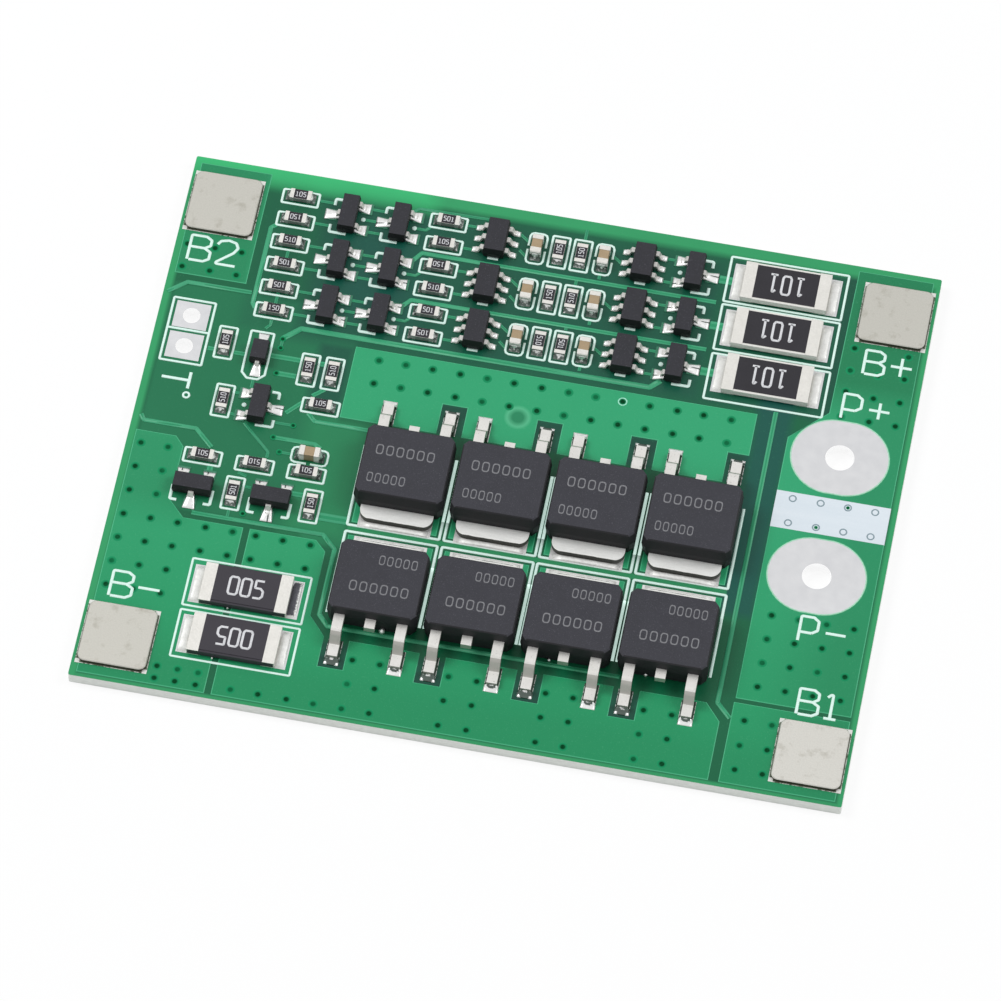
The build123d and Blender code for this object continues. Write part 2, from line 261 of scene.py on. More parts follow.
# %% Painter
class Painter(Bench):
    """The bench of one material, with the patterns that the finishes share."""

    def __init__(self, tree):
        super().__init__(tree)
        self.place = self.node("ShaderNodeTexCoord", out="Object")

    def grain(self, size_mm, detail=2.0, roughness=0.5, stretch=None):
        """Noise around 0.5 with lumps of the given size."""
        place = self.place
        if stretch is not None:
            place = self.node("ShaderNodeMapping", {"Vector": place, "Scale": stretch})
        sockets = {"Vector": place, "Scale": 1 / (size_mm * MM), "Detail": detail, "Roughness": roughness}
        return self.node("ShaderNodeTexNoise", sockets)

    def drawing(self):
        """Object coordinates as drawing millimetres."""
        split = self.node("ShaderNodeSeparateXYZ", {0: self.place})
        return [(split.output(axis) - start) / MM for axis, start in zip("XYZ", corner)]

    def steep(self, limit):
        """1 on faces steeper than the limit, such as cut edges, and 0 on flat ones."""
        normal = self.node("ShaderNodeNewGeometry", out="Normal")
        return abs(self.node("ShaderNodeSeparateXYZ", {0: normal}, "Z")) < limit

    def patches(self, *rows):
        """The strongest of a few rectangles, each as x0, y0, x1, y1, softness and strength."""
        x, y, z = self.drawing()
        found = []
        for x0, y0, x1, y1, soft, strength in rows:
            inside = (x - x0).least(x1 - x).least((y - y0).least(y1 - y))
            found.append((inside / soft + 0.5).clamp() * strength)
        return reduce(Wire.most, found)

    def mix(self, factor, *tints):
        """A blend of two tints, each a wire or three screen values."""
        first, second = (tone(*tint) if isinstance(tint, tuple) else tint for tint in tints)
        return self.node("ShaderNodeMix", {0: factor, 6: first, 7: second}, 2, data_type="RGBA")

    def coats(self, tint, *rows):
        """A tint with more laid over it, each as how much of it shows and its own tint."""
        for factor, coat in rows:
            tint = self.mix(factor, tint, coat)
        return tint

    def skin(self, tint, roughness, relief=None, depth_mm=0.01, metallic=0.0, specular=0.5):
        """The sockets of the material's shader. Relief is a pattern of heights, as deep as depth_mm."""
        sockets = {"Base Color": tint, "Roughness": roughness, "Metallic": metallic,
                   "Specular IOR Level": specular}
        if relief is not None:
            sockets["Normal"] = self.node("ShaderNodeBump", {"Height": relief, "Distance": depth_mm * MM})
        return sockets

    def over(self, sockets, factor, coat):
        """The same skin with one more coat."""
        return {**sockets, "Base Color": self.mix(factor, sockets["Base Color"], coat)}


def finish(rule):
    """Makes the material that a rule paints, and keeps it on the rule."""
    rule.material = bpy.data.materials.new(rule.__name__)
    rule.material.use_nodes = True
    bench = Painter(rule.material.node_tree)
    shader = bench.node("ShaderNodeBsdfPrincipled", rule(bench))
    bench.node("ShaderNodeOutputMaterial", {"Surface": shader})
    return rule


# %% [markdown]
# Solder mask is a clear green lacquer, so its colour depends on what lies below. Over copper it is a light
# green, and over bare glass fibre it is darker, and darkest where no copper lies on the far side either. One
# laminate material does all of that: it tells top from side walls by the face's direction, tints the parts
# area darker, and leaves the sawn sides pale and rough. The copper planes get the lighter lacquer below, and
# the tracks a duller one, the narrow ones most of all. Both greens also carry painted light and shade: lit
# patches along the edges and between the cases, painted shade on parts of the copper, a copper green painted
# lighter towards the back, and painted highlights on the copper's sloped edges.

# %% Laminate and mask
@finish
def mask_over_laminate(bench):
    flat = 1 - bench.steep(0.7)
    fleck = bench.grain(0.12, 3.0)
    bare = bench.patches((0.7, 15.0, 14.8, 33.9, 0.4, 1), (14.0, 14.0, 17.1, 24.4, 0.4, 1))
    dim = bench.patches(
        (10.0, 31.0, 40.4, 43.6, 1.6, 1), (40.3, 31.2, 50.0, 44.1, 0.4, 0.8),
        (12.2, 24.9, 14.8, 30.9, 0.8, 1), (5.9, 31.0, 10.0, 42.9, 1.0, 0.35),
        (17.0, 3.6, 40.6, 6.2, 0.3, 1), (17.0, 24.9, 44.6, 27.4, 0.3, 1))
    deep = bench.patches(
        (16.8, 3.8, 40.7, 5.0, 0.3, 1), (21.0, 26.3, 44.7, 27.3, 0.3, 1), (49.2, 31.2, 50.4, 44.0, 0.3, 0.5))
    teal = bench.patches((44.6, 14.0, 47.2, 34.0, 0.8, 1), (12.0, 33.0, 18.0, 41.5, 3.0, 0.6))
    # painted light: the lit patches brighten strips along the board's back, front and side edges, the
    # top-left corner, the strip between the two rows of cases and the laminate beside the first case, where
    # the cases' shade falls
    lit = bench.patches(
        (-3, 44.0, 60, 48, 0.6, 1), (5.9, 43.9, 17.6, 48, 1.4, 1.25), (-3, -3, 60, 0.3, 0.2, 0.8),
        (17.2, 15.55, 45.0, 16.0, 0.1, 0.6), (12.6, 14.6, 17.1, 24.6, 1.5, 0.34))
    lit = lit.most(1 - bench.patches((0.55, -3, 55.6, 48, 0.3, 1)))
    green = bench.coats(
        bench.mix(bare, (4, 92, 58), (24, 112, 74)),
        (dim, (10, 78, 60)),
        (deep * 0.7, (2, 48, 42)),
        (teal * 0.8, (10, 74, 72)),
        (lit, (50, 158, 100)),
        # painted light: the top-left corner is brightened once more
        (bench.patches((-3, 43.9, 18, 48, 2.0, 1)), (58, 190, 118)),
        (bench.grain(5.0) * 0.3, (14, 96, 64)),
        ((fleck - 0.62).clamp() * 0.9, (86, 172, 128)))
    fibre = bench.grain(0.5, 4.0, 0.7, (1, 1, 3.0))
    sawn_edge = bench.mix(fibre, (200, 204, 196), (246, 248, 244))
    return bench.skin(bench.mix(flat, sawn_edge, green), 0.62 - flat * 0.27,
                      bench.grain(0.9) * 0.5 + fleck * 0.2, 0.012, specular=0.3)


@finish
def mask_over_copper(bench):
    x, y, z = bench.drawing()
    fleck = bench.grain(0.1, 3.0)
    # painted shade: darker patches at the right side, the left side and the front
    shade = bench.patches(
        (51.0, -3, 60, 48, 5.0, 0.6), (-3, 34, 6.2, 48, 1.5, 0.8), (47, 33, 60, 48, 4.0, 1),
        (-3, 14.5, 5, 22, 3.0, 0.5), (-3, -3, 60, 4, 3.0, 0.35))
    spot, dimple = bench.node("ShaderNodeCombineXYZ", {0: x, 1: y}), (27.55, 27.3, 0)
    reach = bench.node("ShaderNodeVectorMath", {0: spot, 1: dimple}, "Value", operation="DISTANCE")
    green = bench.coats(
        # painted light: the green grows lighter towards the back of the board
        bench.mix((y / 22.0).clamp(), (20, 140, 89), (46, 161, 111)),
        (shade, (24, 120, 78)),
        (bench.grain(7.0) * 0.25, (24, 136, 86)),
        ((fleck - 0.6).clamp() * 0.8, (120, 205, 160)),
        ((0.36 - fleck).clamp() * 1.5, (16, 106, 68)),
        # painted highlight: the copper's sloped edges are painted lighter
        (bench.steep(0.97) * 0.6, (90, 196, 148)),
        # the dimple at 27.55, 27.3 has no shape of its own: a painted highlight lights its rim, and painted
        # shade darkens its hollow
        (((1.05 - reach) * 3.5).clamp() * 0.45, (112, 205, 160)),
        (((0.82 - reach) * 2.4).clamp() * 0.9, (20, 122, 80)))
    return bench.skin(green, 0.32 + fleck * 0.12, bench.grain(1.6) * 0.7 + fleck * 0.15, 0.012, specular=0.3)


@finish
def mask_over_thin_track(bench):
    return bench.over(mask_over_copper(bench), 0.5, (20, 100, 72))


@finish
def mask_over_wide_track(bench):
    return bench.over(mask_over_copper(bench), 0.3, (20, 100, 72))


@finish
def mask_edge_round_pads(bench):
    return bench.skin(bench.mix(bench.grain(0.3), (124, 196, 154), (190, 232, 210)), 0.35)


@finish
def mask_edge_round_via(bench):
    return bench.skin(bench.mix(bench.grain(0.3), (120, 206, 170), (176, 238, 216)), 0.4)


# %% [markdown]
# A via is a small plated hole that the mask closes over. Seen from above it is a dark dimple with a soft
# edge. How dark each place is comes from a number that is stored on the dimple's own mesh as an attribute,
# 1 at the centre. It follows each via exactly, where a pattern on coordinates would need a sum for every one.
# The inks are plain whites and greys that wander a little between two tones.

# %% Vias and print
@finish
def mask_in_via(bench):
    deep = bench.node("ShaderNodeAttribute", {}, "Fac", attribute_name="crown")
    shade = (deep + (bench.grain(0.15) - 0.5) * 0.4 * deep).clamp()
    filled = ((bench.grain(2.5, 0.0) - 0.5) * 4.0).clamp()
    core = bench.mix(filled, (0, 56, 26), (14, 102, 62))
    return bench.skin(bench.mix(shade, (36, 150, 100), core), 0.6, specular=0.05)


@finish
def white_print(bench):
    blot = bench.grain(0.12, 3.0)
    ink = bench.mix(blot * 0.5 + bench.grain(1.5) * 0.3, (236, 255, 248), (192, 232, 217))
    return bench.skin(ink, 0.55, blot, 0.004)


@finish
def white_print_block(bench):
    blot = bench.grain(0.1, 3.0)
    wipe = bench.grain(4.0, 3.0, 0.6, (0.4, 4.0, 1.0))
    ink = bench.coats(bench.mix(wipe, (228, 235, 240), (206, 217, 225)), (blot * 0.3, (196, 206, 216)))
    return bench.skin(ink, 0.5, blot * 0.5 + wipe * 0.5, 0.006)


@finish
def thin_print_on_rings(bench):
    return bench.skin(bench.mix(bench.grain(0.1, 3.0), (104, 126, 134), (150, 168, 176)), 0.5)


@finish
def digit_print(bench):
    return bench.skin(bench.mix(bench.grain(0.1, 3.0), (236, 236, 238), (190, 190, 194)), 0.5)


# %% [markdown]
# Bare metal on a board comes in three looks. The lands and holed pads are tinned flat by a blade of hot
# air, with a soft mottle. The nickel tabs are rolled strip, warmer and finely speckled. The leads and solder
# are brighter and uneven. All three are metals whose roughness and tint wander by a little noise.

# %% Metals
@finish
def tinned_copper(bench):
    mottle, cloud, wall = bench.grain(0.7, 3.0), bench.grain(2.5), bench.steep(0.5)
    tint = bench.mix(mottle * 0.6 + cloud * 0.4, (190, 191, 194), (210, 210, 211))
    # painted light: steep faces, such as the walls of the plated holes, are painted near white against the
    # shade inside the holes, and are made smoother and fully metal
    return bench.skin(bench.mix(wall, tint, (254, 254, 254)), 0.42 + mottle * 0.12 - wall * 0.3,
                      mottle * 0.4 + cloud, 0.003, 0.85 + wall * 0.15)


@finish
def rolled_nickel(bench):
    speck = bench.grain(0.09, 3.0, 0.7)
    roll = bench.grain(0.35, 3.0, 0.6, (1.0, 0.12, 1.0))
    scuff = bench.grain(1.3, 4.0, 0.65)
    tint = bench.coats(
        bench.mix(speck, (170, 169, 163), (220, 218, 212)),
        (roll * 0.45, (200, 198, 191)),
        ((0.45 - scuff).clamp() * 3.0, (150, 146, 134)),
        ((1 - bench.patches((40, -3, 60, 12, 4.0, 1))) * 0.2, (120, 118, 98)),
        # painted shade: the tab's cut sides are painted dark, as the shade along its edges
        (bench.steep(0.5), (92, 86, 78)))
    return bench.skin(tint, 0.34 + speck * 0.24, speck * 0.35 + roll * 0.5, 0.006, 0.92)


@finish
def solder_round_tab(bench):
    """Solder round a tab, painted dark as the shade under the tab's edge, and white only in flecks at its
    outer edge and at its corners.
    """
    x, y, z = bench.drawing()
    outside, corners = [], []
    for box in solids("cell_tab_lands"):
        past_x = abs(x - box.middle[0]) - box.size[0] / 2
        past_y = abs(y - box.middle[1]) - box.size[1] / 2
        outside.append(past_x.most(past_y))
        corners.append(abs(past_x).most(abs(past_y)))
    ragged = bench.grain(0.3, 3.0, 0.7)
    white = ((reduce(Wire.least, outside) + 0.075) * 16.0).clamp() * ((ragged - 0.42) * 10.0).clamp()
    white = white.most((reduce(Wire.least, corners) < 0.34) * 0.9)
    # painted shade: the land beside the tab is darkened as if it lay in the tab's shadow
    shade_under_tab = bench.mix(bench.grain(0.12, 3.0), (48, 62, 44), (104, 112, 92))
    return bench.skin(bench.mix(white, shade_under_tab, (226, 226, 222)), 0.4, ragged, 0.02, 0.4)


@finish
def tinned_lead_frame(bench):
    drag, pit = bench.grain(0.9, 3.0, 0.6), bench.grain(0.13)
    tint = bench.mix(drag, (206, 204, 199), (232, 230, 226))
    return bench.skin(bench.mix((0.38 - pit).clamp() * 3.0, tint, (110, 108, 104)), 0.3 + drag * 0.14,
                      drag * 0.5 + pit * 0.3, 0.005, 0.35)


@finish
def solder(bench):
    painted_sheen = bench.node("ShaderNodeAttribute", {}, "Fac", attribute_name="painted_sheen")
    flow, ragged = bench.grain(0.35, 3.0, 0.6), bench.grain(0.16, 2.0, 0.6)
    # painted reflection and shade: the solder is darkened, with a ragged edge, where the shape's painted
    # sheen is low
    dark = ((0.58 - painted_sheen + (ragged - 0.5) * 0.9).clamp() * 5.0).clamp()
    tint = bench.mix(flow, (206, 206, 205), (244, 244, 243))
    return bench.skin(bench.mix(dark * 0.92, tint, (54, 70, 62)), 0.24 + flow * 0.16, flow, 0.01, 0.8)


@finish
def tinned_end(bench):
    speck, cloud = bench.grain(0.15, 3.0), bench.grain(0.8)
    tint = bench.mix(speck * 0.5 + cloud * 0.5, (200, 198, 192), (232, 230, 225))
    return bench.skin(tint, 0.34 + speck * 0.16, speck + cloud, 0.012, 0.75 - bench.steep(0.5) * 0.6)


@finish
def tinned_small_end(bench):
    # painted shade: the upright sides of the small chips' ends are painted darker
    return bench.over(tinned_end(bench), bench.steep(0.5) * 0.85, (120, 126, 122))


# %% [markdown]
# The cases are moulded from black epoxy with glass filler, which looks blue-grey under soft light because
# of its fine matt skin. The chips' glaze is blacker and glossier, the resistor cores are white ceramic and
# the capacitors are tan ceramic. Each gets a fine grain at the scale that the real one has.

# %% Epoxy, glaze and ceramic
def epoxy(bench, dark, pale):
    filler = bench.grain(0.075, 3.0, 0.75)
    tint = bench.coats(
        bench.mix(filler * 0.7 + bench.grain(1.2) * 0.3, dark, pale),
        ((filler - 0.6).clamp() * 4.0, (120, 120, 130)),
        # steep walls darker: partly the glossier moulded skin of the sides, partly painted shade
        (bench.steep(0.8) * 0.8, (16, 15, 17)))
    return bench.skin(tint, 0.55 + filler * 0.16, filler, 0.01, specular=0.35)


@finish
def moulded_epoxy(bench):
    return epoxy(bench, (22, 22, 26), (44, 44, 52))


@finish
def black_glaze(bench):
    speck = bench.grain(0.1, 3.0, 0.6)
    tint = bench.mix(speck * 0.5 + bench.grain(1.5) * 0.5, (24, 22, 27), (48, 46, 52))
    shunts = bench.patches((5, 2, 17, 12, 1.0, 0.3))
    return bench.skin(bench.mix(shunts, tint, (80, 76, 84)), 0.4 + speck * 0.2, speck, 0.006, specular=0.3)


@finish
def white_ceramic(bench):
    speck = bench.grain(0.12, 3.0)
    return bench.skin(bench.mix(speck, (212, 210, 204), (238, 236, 230)), 0.5, speck, 0.006)


@finish
def small_chip_ceramic(bench):
    # painted shade: the upright sides of the small chips are painted darker
    return bench.over(white_ceramic(bench), bench.steep(0.5), (104, 112, 106))


@finish
def tan_ceramic(bench):
    speck = bench.grain(0.09, 3.0)
    tint = bench.mix(speck * 0.5 + bench.grain(0.6) * 0.5, (138, 117, 88), (182, 160, 128))
    return bench.skin(tint, 0.42, speck, 0.005)


# %% [markdown]
# A laser leaves two faint rows of signs on each power transistor. Here they are plain noughts, which name
# nothing. They are worked out from the coordinates: the cases stand at an even pitch, so a remainder folds
# all of them onto one, and the far row is turned by half a turn, as its parts are.

# %% Marked cases
first_case = power_cases[0]
case_pitch = power_cases[1].middle[0] - first_case.middle[0]
front_row_y, back_row_y = first_case.middle[1], power_cases[4].middle[1]


def nought_row(u, v, left, right, level, pitch, tall):
    """A row of hollow noughts between two ends."""
    across = abs(((u - left) % pitch) - pitch / 2) / (pitch * 0.36)
    up = abs(v - level) / (tall / 2)
    bulge = across * across * across + up * up * up * up
    return (bulge < 1.0) * (bulge > 0.34) * (u > left) * (u < right)


def folded(bench):
    """The place on one power transistor, for all eight: u across it, v from leads to slug, and the height."""
    x, y, z = bench.drawing()
    far = y > (front_row_y + back_row_y) / 2
    side = 1 - far * 2
    u = (((x - (first_case.middle[0] - case_pitch / 2)) % case_pitch) - case_pitch / 2) * side
    v = (y - front_row_y - far * (back_row_y - front_row_y)) * side
    return u, v, z


@finish
def marked_epoxy(bench):
    u, v, z = folded(bench)
    top = z > first_case.high[2] - 0.03
    signs = nought_row(u, v, -0.35, 2.6, 1.55, 0.59, 0.8).most(nought_row(u, v, -2.1, 2.4, -0.85, 0.75, 0.85))
    burn = signs * top * (0.16 + bench.grain(0.12) * 0.62)
    return bench.over(epoxy(bench, (30, 30, 36), (58, 58, 66)), burn, (165, 165, 168))


# %% [markdown]
# The power transistors' lead frames get painted shade where they slope, on the slug's steep faces and along
# its sheared front edge, and the slug's pale tin top is painted brighter still against the case's shade.
# Their foot lands are painted dark beside the foot, as the shade there and the dark case mirrored in the
# solder, so they are bright only beyond the foot, and the gate lands only at their sides. The white lines
# between two cases get a faint light of their own, since soft lamps hardly reach them here. All of it follows
# the folded coordinates of the marks.

# %% Power leads and their lands
case_half = first_case.size[1] / 2
foot_lands = [box for box in solids("power_transistor_lands") if box.size[0] < 3]
foot_land = min(foot_lands, key=lambda box: box.middle[1])
land_half, land_end = foot_land.size[0] / 2, foot_land.low[1] - front_row_y
lead_spread = abs(foot_land.middle[0] - first_case.middle[0]) % case_pitch
lead_spread = min(lead_spread, case_pitch - lead_spread)
slug_end = max(box.high[1] for box in solids("power_transistor_1_leads")) - front_row_y
print(len(foot_lands), "foot lands at", round(lead_spread, 2), "mm, slug's end at", round(slug_end, 2), "mm")


@finish
def power_lead_frame(bench):
    u, v, z = folded(bench)
    slug = v > case_half - 0.2
    streak, speck = bench.grain(0.3, 3.0, 0.6, (0.3, 1.6, 1.0)), bench.grain(0.1, 3.0, 0.7)
    # painted shade along the slug's sheared front edge, made ragged by a streak
    edge_shade = v + (streak - 0.5) * 0.1 > slug_end - 0.03
    sockets = tinned_lead_frame(bench)
    tint = bench.coats(
        sockets["Base Color"],
        # the slug's top is pale tin, painted brighter still against the case's shade
        (slug, bench.mix(streak * 0.5 + speck * 0.5, (206, 206, 202), (254, 254, 251))),
        # painted shade on the sloped stretch of each lead
        (bench.steep(0.85) * (1 - slug) * 0.8, (158, 156, 149)),
        # painted shade on the slug's steep faces and its sheared edge
        (slug * bench.steep(0.6).most(edge_shade), (74, 72, 68)))
    return {**sockets, "Base Color": tint, "Metallic": 0.5 - slug * 0.4, "Roughness": 0.34 + slug * 0.3}


@finish
def power_land(bench):
    u, v, z = folded(bench)
    beside = land_half - abs(abs(u) - lead_spread)
    ragged = bench.grain(0.2, 3.0, 0.6)
    tip = ((land_end + 0.2 - v) * 12.0).clamp() * (u > 0).most(beside < 0.26)
    rim = ((0.05 - beside) * 30.0).clamp() * ((ragged - 0.4) * 8.0).clamp()
    metal = bench.mix(bench.grain(0.5, 3.0), (204, 204, 203), (232, 232, 230))
    # painted shade and reflection: the land beside a foot is painted dark, and bright only toward the slug,
    # beyond the foot's tip and at the ragged rim
    bright = (v > -case_half).most(tip).most(rim)
    return bench.skin(bench.mix(bright, (52, 66, 56), metal), 0.34, ragged, 0.01, 0.8)


@finish
def white_print_between_cases(bench):
    u, v, z = folded(bench)
    gap = (abs(u) > case_pitch / 2 - 0.5) * (abs(v) < case_half) * bench.patches((18, 0, 44, 30, 0.3, 1))
    glow = bench.mix(gap, (0, 0, 0), (170, 192, 184))
    return {**white_print(bench), "Emission Color": glow, "Emission Strength": 1.0}


@finish
def wetted_land(bench):
    """A small land whose rim the green mask runs over; solder covers the rest."""
    ragged = bench.grain(0.2, 3.0, 0.6)
    return bench.skin(bench.mix(ragged, (12, 84, 58), (72, 146, 114)), 0.4, ragged, 0.01, 0.15)


# %% Dress the CAD parts
slot_rule = {
    "masked_laminate": mask_over_laminate,
    "tinned_copper": tinned_copper,
    "nickel_tab": rolled_nickel,
    "moulded_case": moulded_epoxy,
    "tinned_lead": tinned_lead_frame,
    "resistor_ceramic": white_ceramic,
    "resistor_glaze": black_glaze,
    "capacitor_ceramic": tan_ceramic,
    "tinned_end": tinned_end,
}
own_rule = {
    "cell_tab_lands": solder_round_tab,
    "chip_resistor_cores": small_chip_ceramic,
    "chip_resistor_ends": tinned_small_end,
    "small_package_lands": wetted_land,
    "chip_lands": wetted_land,
    "power_transistor_lands": power_land,
}
for number in range(1, 9):
    own_rule[f"power_transistor_{number}_case"] = marked_epoxy
    own_rule[f"power_transistor_{number}_leads"] = power_lead_frame
for part in frame["record"]["subparts"]:
    materials = frame["nodes"][part["node"]].data.materials
    materials.clear()
    materials.append(own_rule.get(part["node"], slot_rule[part["material_slot"]]).material)
print(len(frame["nodes"]), "CAD nodes dressed")

# %% [markdown]
# The wide copper planes stand about 0.035 mm proud of the laminate under the mask. Each is drawn as an
# outline in millimetres, with its notches round the gate leads, and lifted into a thin slab with sloped
# edges. Plain mesh code is enough here, because every plane has its own outline.

# %% Slabs
RELIEF = 0.035
SLOPE = 0.08
SUNK = -0.01


def inset(outline, distance):
    """The same outline, counter-clockwise, with each side moved inwards."""
    moved = []
    for k in range(len(outline)):
        before, here, after = (Vector(outline[j % len(outline)]) for j in (k - 1, k, k + 1))
        one = (here - before).normalized().orthogonal()
        two = (after - here).normalized().orthogonal()
        moved.append(here + (one + two) * distance / (1 + one.dot(two)))
    return moved


def slab(outline, low, high, slope, openings=()):
    """Points and faces of one closed slab whose sides lean in. Openings run clockwise."""
    loops = [outline, *openings]
    roofs = [inset(loop, slope) for loop in loops]
    points = [at(x, y, low) for loop in loops for x, y in loop]
    count = len(points)
    points += [at(x, y, high) for roof in roofs for x, y in roof]
    faces = []
    for one, two, three in tessellate_polygon([[Vector((x, y, 0)) for x, y in roof] for roof in roofs]):
        a, b, c = (points[count + k] - points[count + one] for k in (one, two, three))
        if b.cross(c).z < 0:
            two, three = three, two
        faces += [(count + one, count + two, count + three), (three, two, one)]
    start = 0
    for loop in loops:
        for k in range(len(loop)):
            here, after = start + k, start + (k + 1) % len(loop)
            faces.append((here, after, count + after, count + here))
        start += len(loop)
    return points, faces


def settle(name, mesh):
    """Makes a finished mesh a piece that rides on the board."""
    piece = stand(name, mesh)
    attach(piece, "root")
    print(name, len(mesh.polygons), "faces")


def join_slabs(name, slabs, rule):
    points, faces = [], []
    for slab_points, slab_faces in slabs:
        faces += [tuple(len(points) + k for k in face) for face in slab_faces]
        points += slab_points
    mesh = new_mesh(name, points, [], faces)
    mesh.materials.append(rule.material)
    settle(name, mesh)


# %% Copper planes
def rectangle(x0, y0, x1, y1):
    return [(x0, y0), (x1, y0), (x1, y1), (x0, y1)]


def notches(gates, level, depth):
    """Points along a straight side that steps back to the given depth at each gate."""
    return [point for one, two in gates for point in ((one, level), (one, depth), (two, depth), (two, level))]


def pad_opening(node, margin=0.02):
    """A clockwise opening that follows a long round pad."""
    box = solids(node)[0]
    half_x, half_y = (side / 2 + margin for side in box.size[:2])
    points = []
    for k in range(48):
        angle = -2 * math.pi * (k + 0.5) / 48
        across, up = math.cos(angle), math.sin(angle)
        shift = half_x - half_y if across > 0 else half_y - half_x
        points.append((box.middle[0] + shift + half_y * across, box.middle[1] + half_y * up))
    return points


planes = [
    [(14.8, 24.8), *notches([(22.0, 23.8), (29.05, 30.85), (36.0, 37.85)], 24.8, 27.35),
     (43.1, 24.8), (43.1, 27.35), (44.65, 27.35), (44.65, 31.0), (14.8, 31.0)],
    [(10.3, 0.35), (46.35, 0.35), (46.35, 5.2), (45.15, 6.6),
     *notches([(40.3, 38.45), (33.3, 31.45), (26.2, 24.35), (19.15, 17.35)], 6.6, 4.15),
     (16.85, 7.2), (16.05, 8.1), (16.05, 13.5), (15.2, 14.35), (10.3, 14.35)],
    [(0.5, 0.35), (9.85, 0.35), (9.85, 14.35), (5.4, 14.35), (4.2, 15.6), (4.2, 20.2), (3.5, 21.0),
     (0.5, 21.0)],
    rectangle(47.05, 0.35, 55.5, 7.0),
    rectangle(0.45, 34.7, 5.85, 44.5),
]
cell_sides = [(17.12, 23.88), (24.22, 30.93), (31.22, 37.93), (38.27, 45.03)]
for left, right in cell_sides:
    planes += [rectangle(left + 0.25, low, right - 0.25, high) for low, high in ((8.7, 15.25), (16.3, 22.8))]
right_plane = [(47.1, 7.3), (55.5, 7.3), (55.5, 44.6), (49.88, 44.6), (49.72, 32.1), (47.1, 29.5)]
output_pads = ("output_pad_negative", "output_pad_positive")
slabs = [slab(outline, SUNK, RELIEF, SLOPE) for outline in planes]
slabs.append(slab(right_plane, SUNK, RELIEF, SLOPE, [pad_opening(node) for node in output_pads]))
join_slabs("copper_planes", slabs, mask_over_copper)

# %% [markdown]
# Tracks, printed outlines and letters all follow a path with one width, so one Geometry Nodes tree makes
# them. It turns edges into curves, rounds their corners a little, sweeps a flat bar with sloped sides along
# them and sets the material. Crossing bars would share a top plane and flicker, so each curve is lifted by a
# hair more than the one before.

# %% The stroke tree
def geometry_tree(name, **kinds):
    """A new tree on a bench, and its inputs as wires."""
    group = bpy.data.node_groups.new(name, "GeometryNodeTree")
    for label, kind in {"Geometry": "Geometry", **kinds}.items():
        group.interface.new_socket(label, in_out="INPUT", socket_type="NodeSocket" + kind)
    group.interface.new_socket("Geometry", in_out="OUTPUT", socket_type="NodeSocketGeometry")
    bench = Bench(group)
    first = bench.node("NodeGroupInput")
    return bench, {label: first.output(label) for label in ("Geometry", *kinds)}


def close_tree(bench, solid, material):
    solid = bench.node("GeometryNodeSetMaterial", {"Geometry": solid, "Material": material})
    bench.node("NodeGroupOutput", {"Geometry": solid})
    return bench.tree


bench, given = geometry_tree("stroke", Width="Float", Height="Float", Rounding="Float", Hair="Float",
                             Material="Material")
curve = bench.node("GeometryNodeMeshToCurve", {"Mesh": given["Geometry"]})
number = bench.node("GeometryNodeCurveOfPoint", out="Curve Index")
lift = bench.node("ShaderNodeCombineXYZ", {"Z": (number % 7.0) * given["Hair"]})
curve = bench.node("GeometryNodeSetPosition", {"Geometry": curve, "Offset": lift})
curve = bench.node("GeometryNodeFilletCurve", {"Curve": curve, "Count": 2, "Radius": given["Rounding"],
                                               "Limit Radius": True}, mode="POLY")
curve = bench.node("GeometryNodeSetCurveNormal", {"Curve": curve}, mode="Z_UP")
bar = bench.node("GeometryNodeCurvePrimitiveQuadrilateral", {
    "Top Width": given["Width"], "Bottom Width": given["Width"] - given["Height"] * 0.9,
    "Height": given["Height"], "Offset": 0.0}, mode="TRAPEZOID")
solid = bench.node("GeometryNodeCurveToMesh", {"Curve": curve, "Profile Curve": bar, "Fill Caps": True})
rise = bench.node("ShaderNodeCombineXYZ", {"Z": given["Height"] * 0.5})
solid = bench.node("GeometryNodeSetPosition", {"Geometry": solid, "Offset": rise})
solid = bench.node("GeometryNodeRealizeInstances", {"Geometry": solid})
stroke_group = close_tree(bench, solid, given["Material"])


# %% Strokes
def grow(name, mesh, group, slot, **settings):
    """Runs a tree on a mesh and keeps its result as a plain mesh piece."""
    seedling = stand(name + "_lines", mesh)
    modifier = seedling.modifiers.new("tree", "NODES")
    modifier.node_group = group
    for item in group.interface.items_tree:
        if item.in_out == "INPUT" and item.name in settings:
            modifier[item.identifier] = settings[item.name]
    ready = seedling.evaluated_get(bpy.context.evaluated_depsgraph_get())
    result = bpy.data.meshes.new_from_object(ready)
    bpy.data.objects.remove(seedling)
    result.name = name
    settle(name, result)


def stroke(name, lines, width, height, rule, slot="masked_laminate", rounding=None, hair=0.0004):
    """Bars along lines of drawing points. A line that ends where it began is closed."""
    points, edges = [], []
    for line in lines:
        is_closed = line[0] == line[-1]
        start, count = len(points), len(line) - is_closed
        points += [at(*point) for point in line[:count]]
        edges += [(start + k, start + (k + 1) % count) for k in range(count - 1 + is_closed)]
    rounding = 0.35 * width if rounding is None else rounding
    grow(name, new_mesh(name, points, edges), stroke_group, slot, Width=width * MM, Height=height * MM,
         Rounding=rounding * MM, Hair=hair * MM, Material=rule.material)


def closed(points):
    return [*points, points[0]]


# %% [markdown]
# Tracks are narrow copper lines that join the parts. They are grouped by width, and each run is a list of
# corners as a layout tool would hold it. The three balancing rows are alike, so their runs are written once,
# with heights counted from the row's middle.

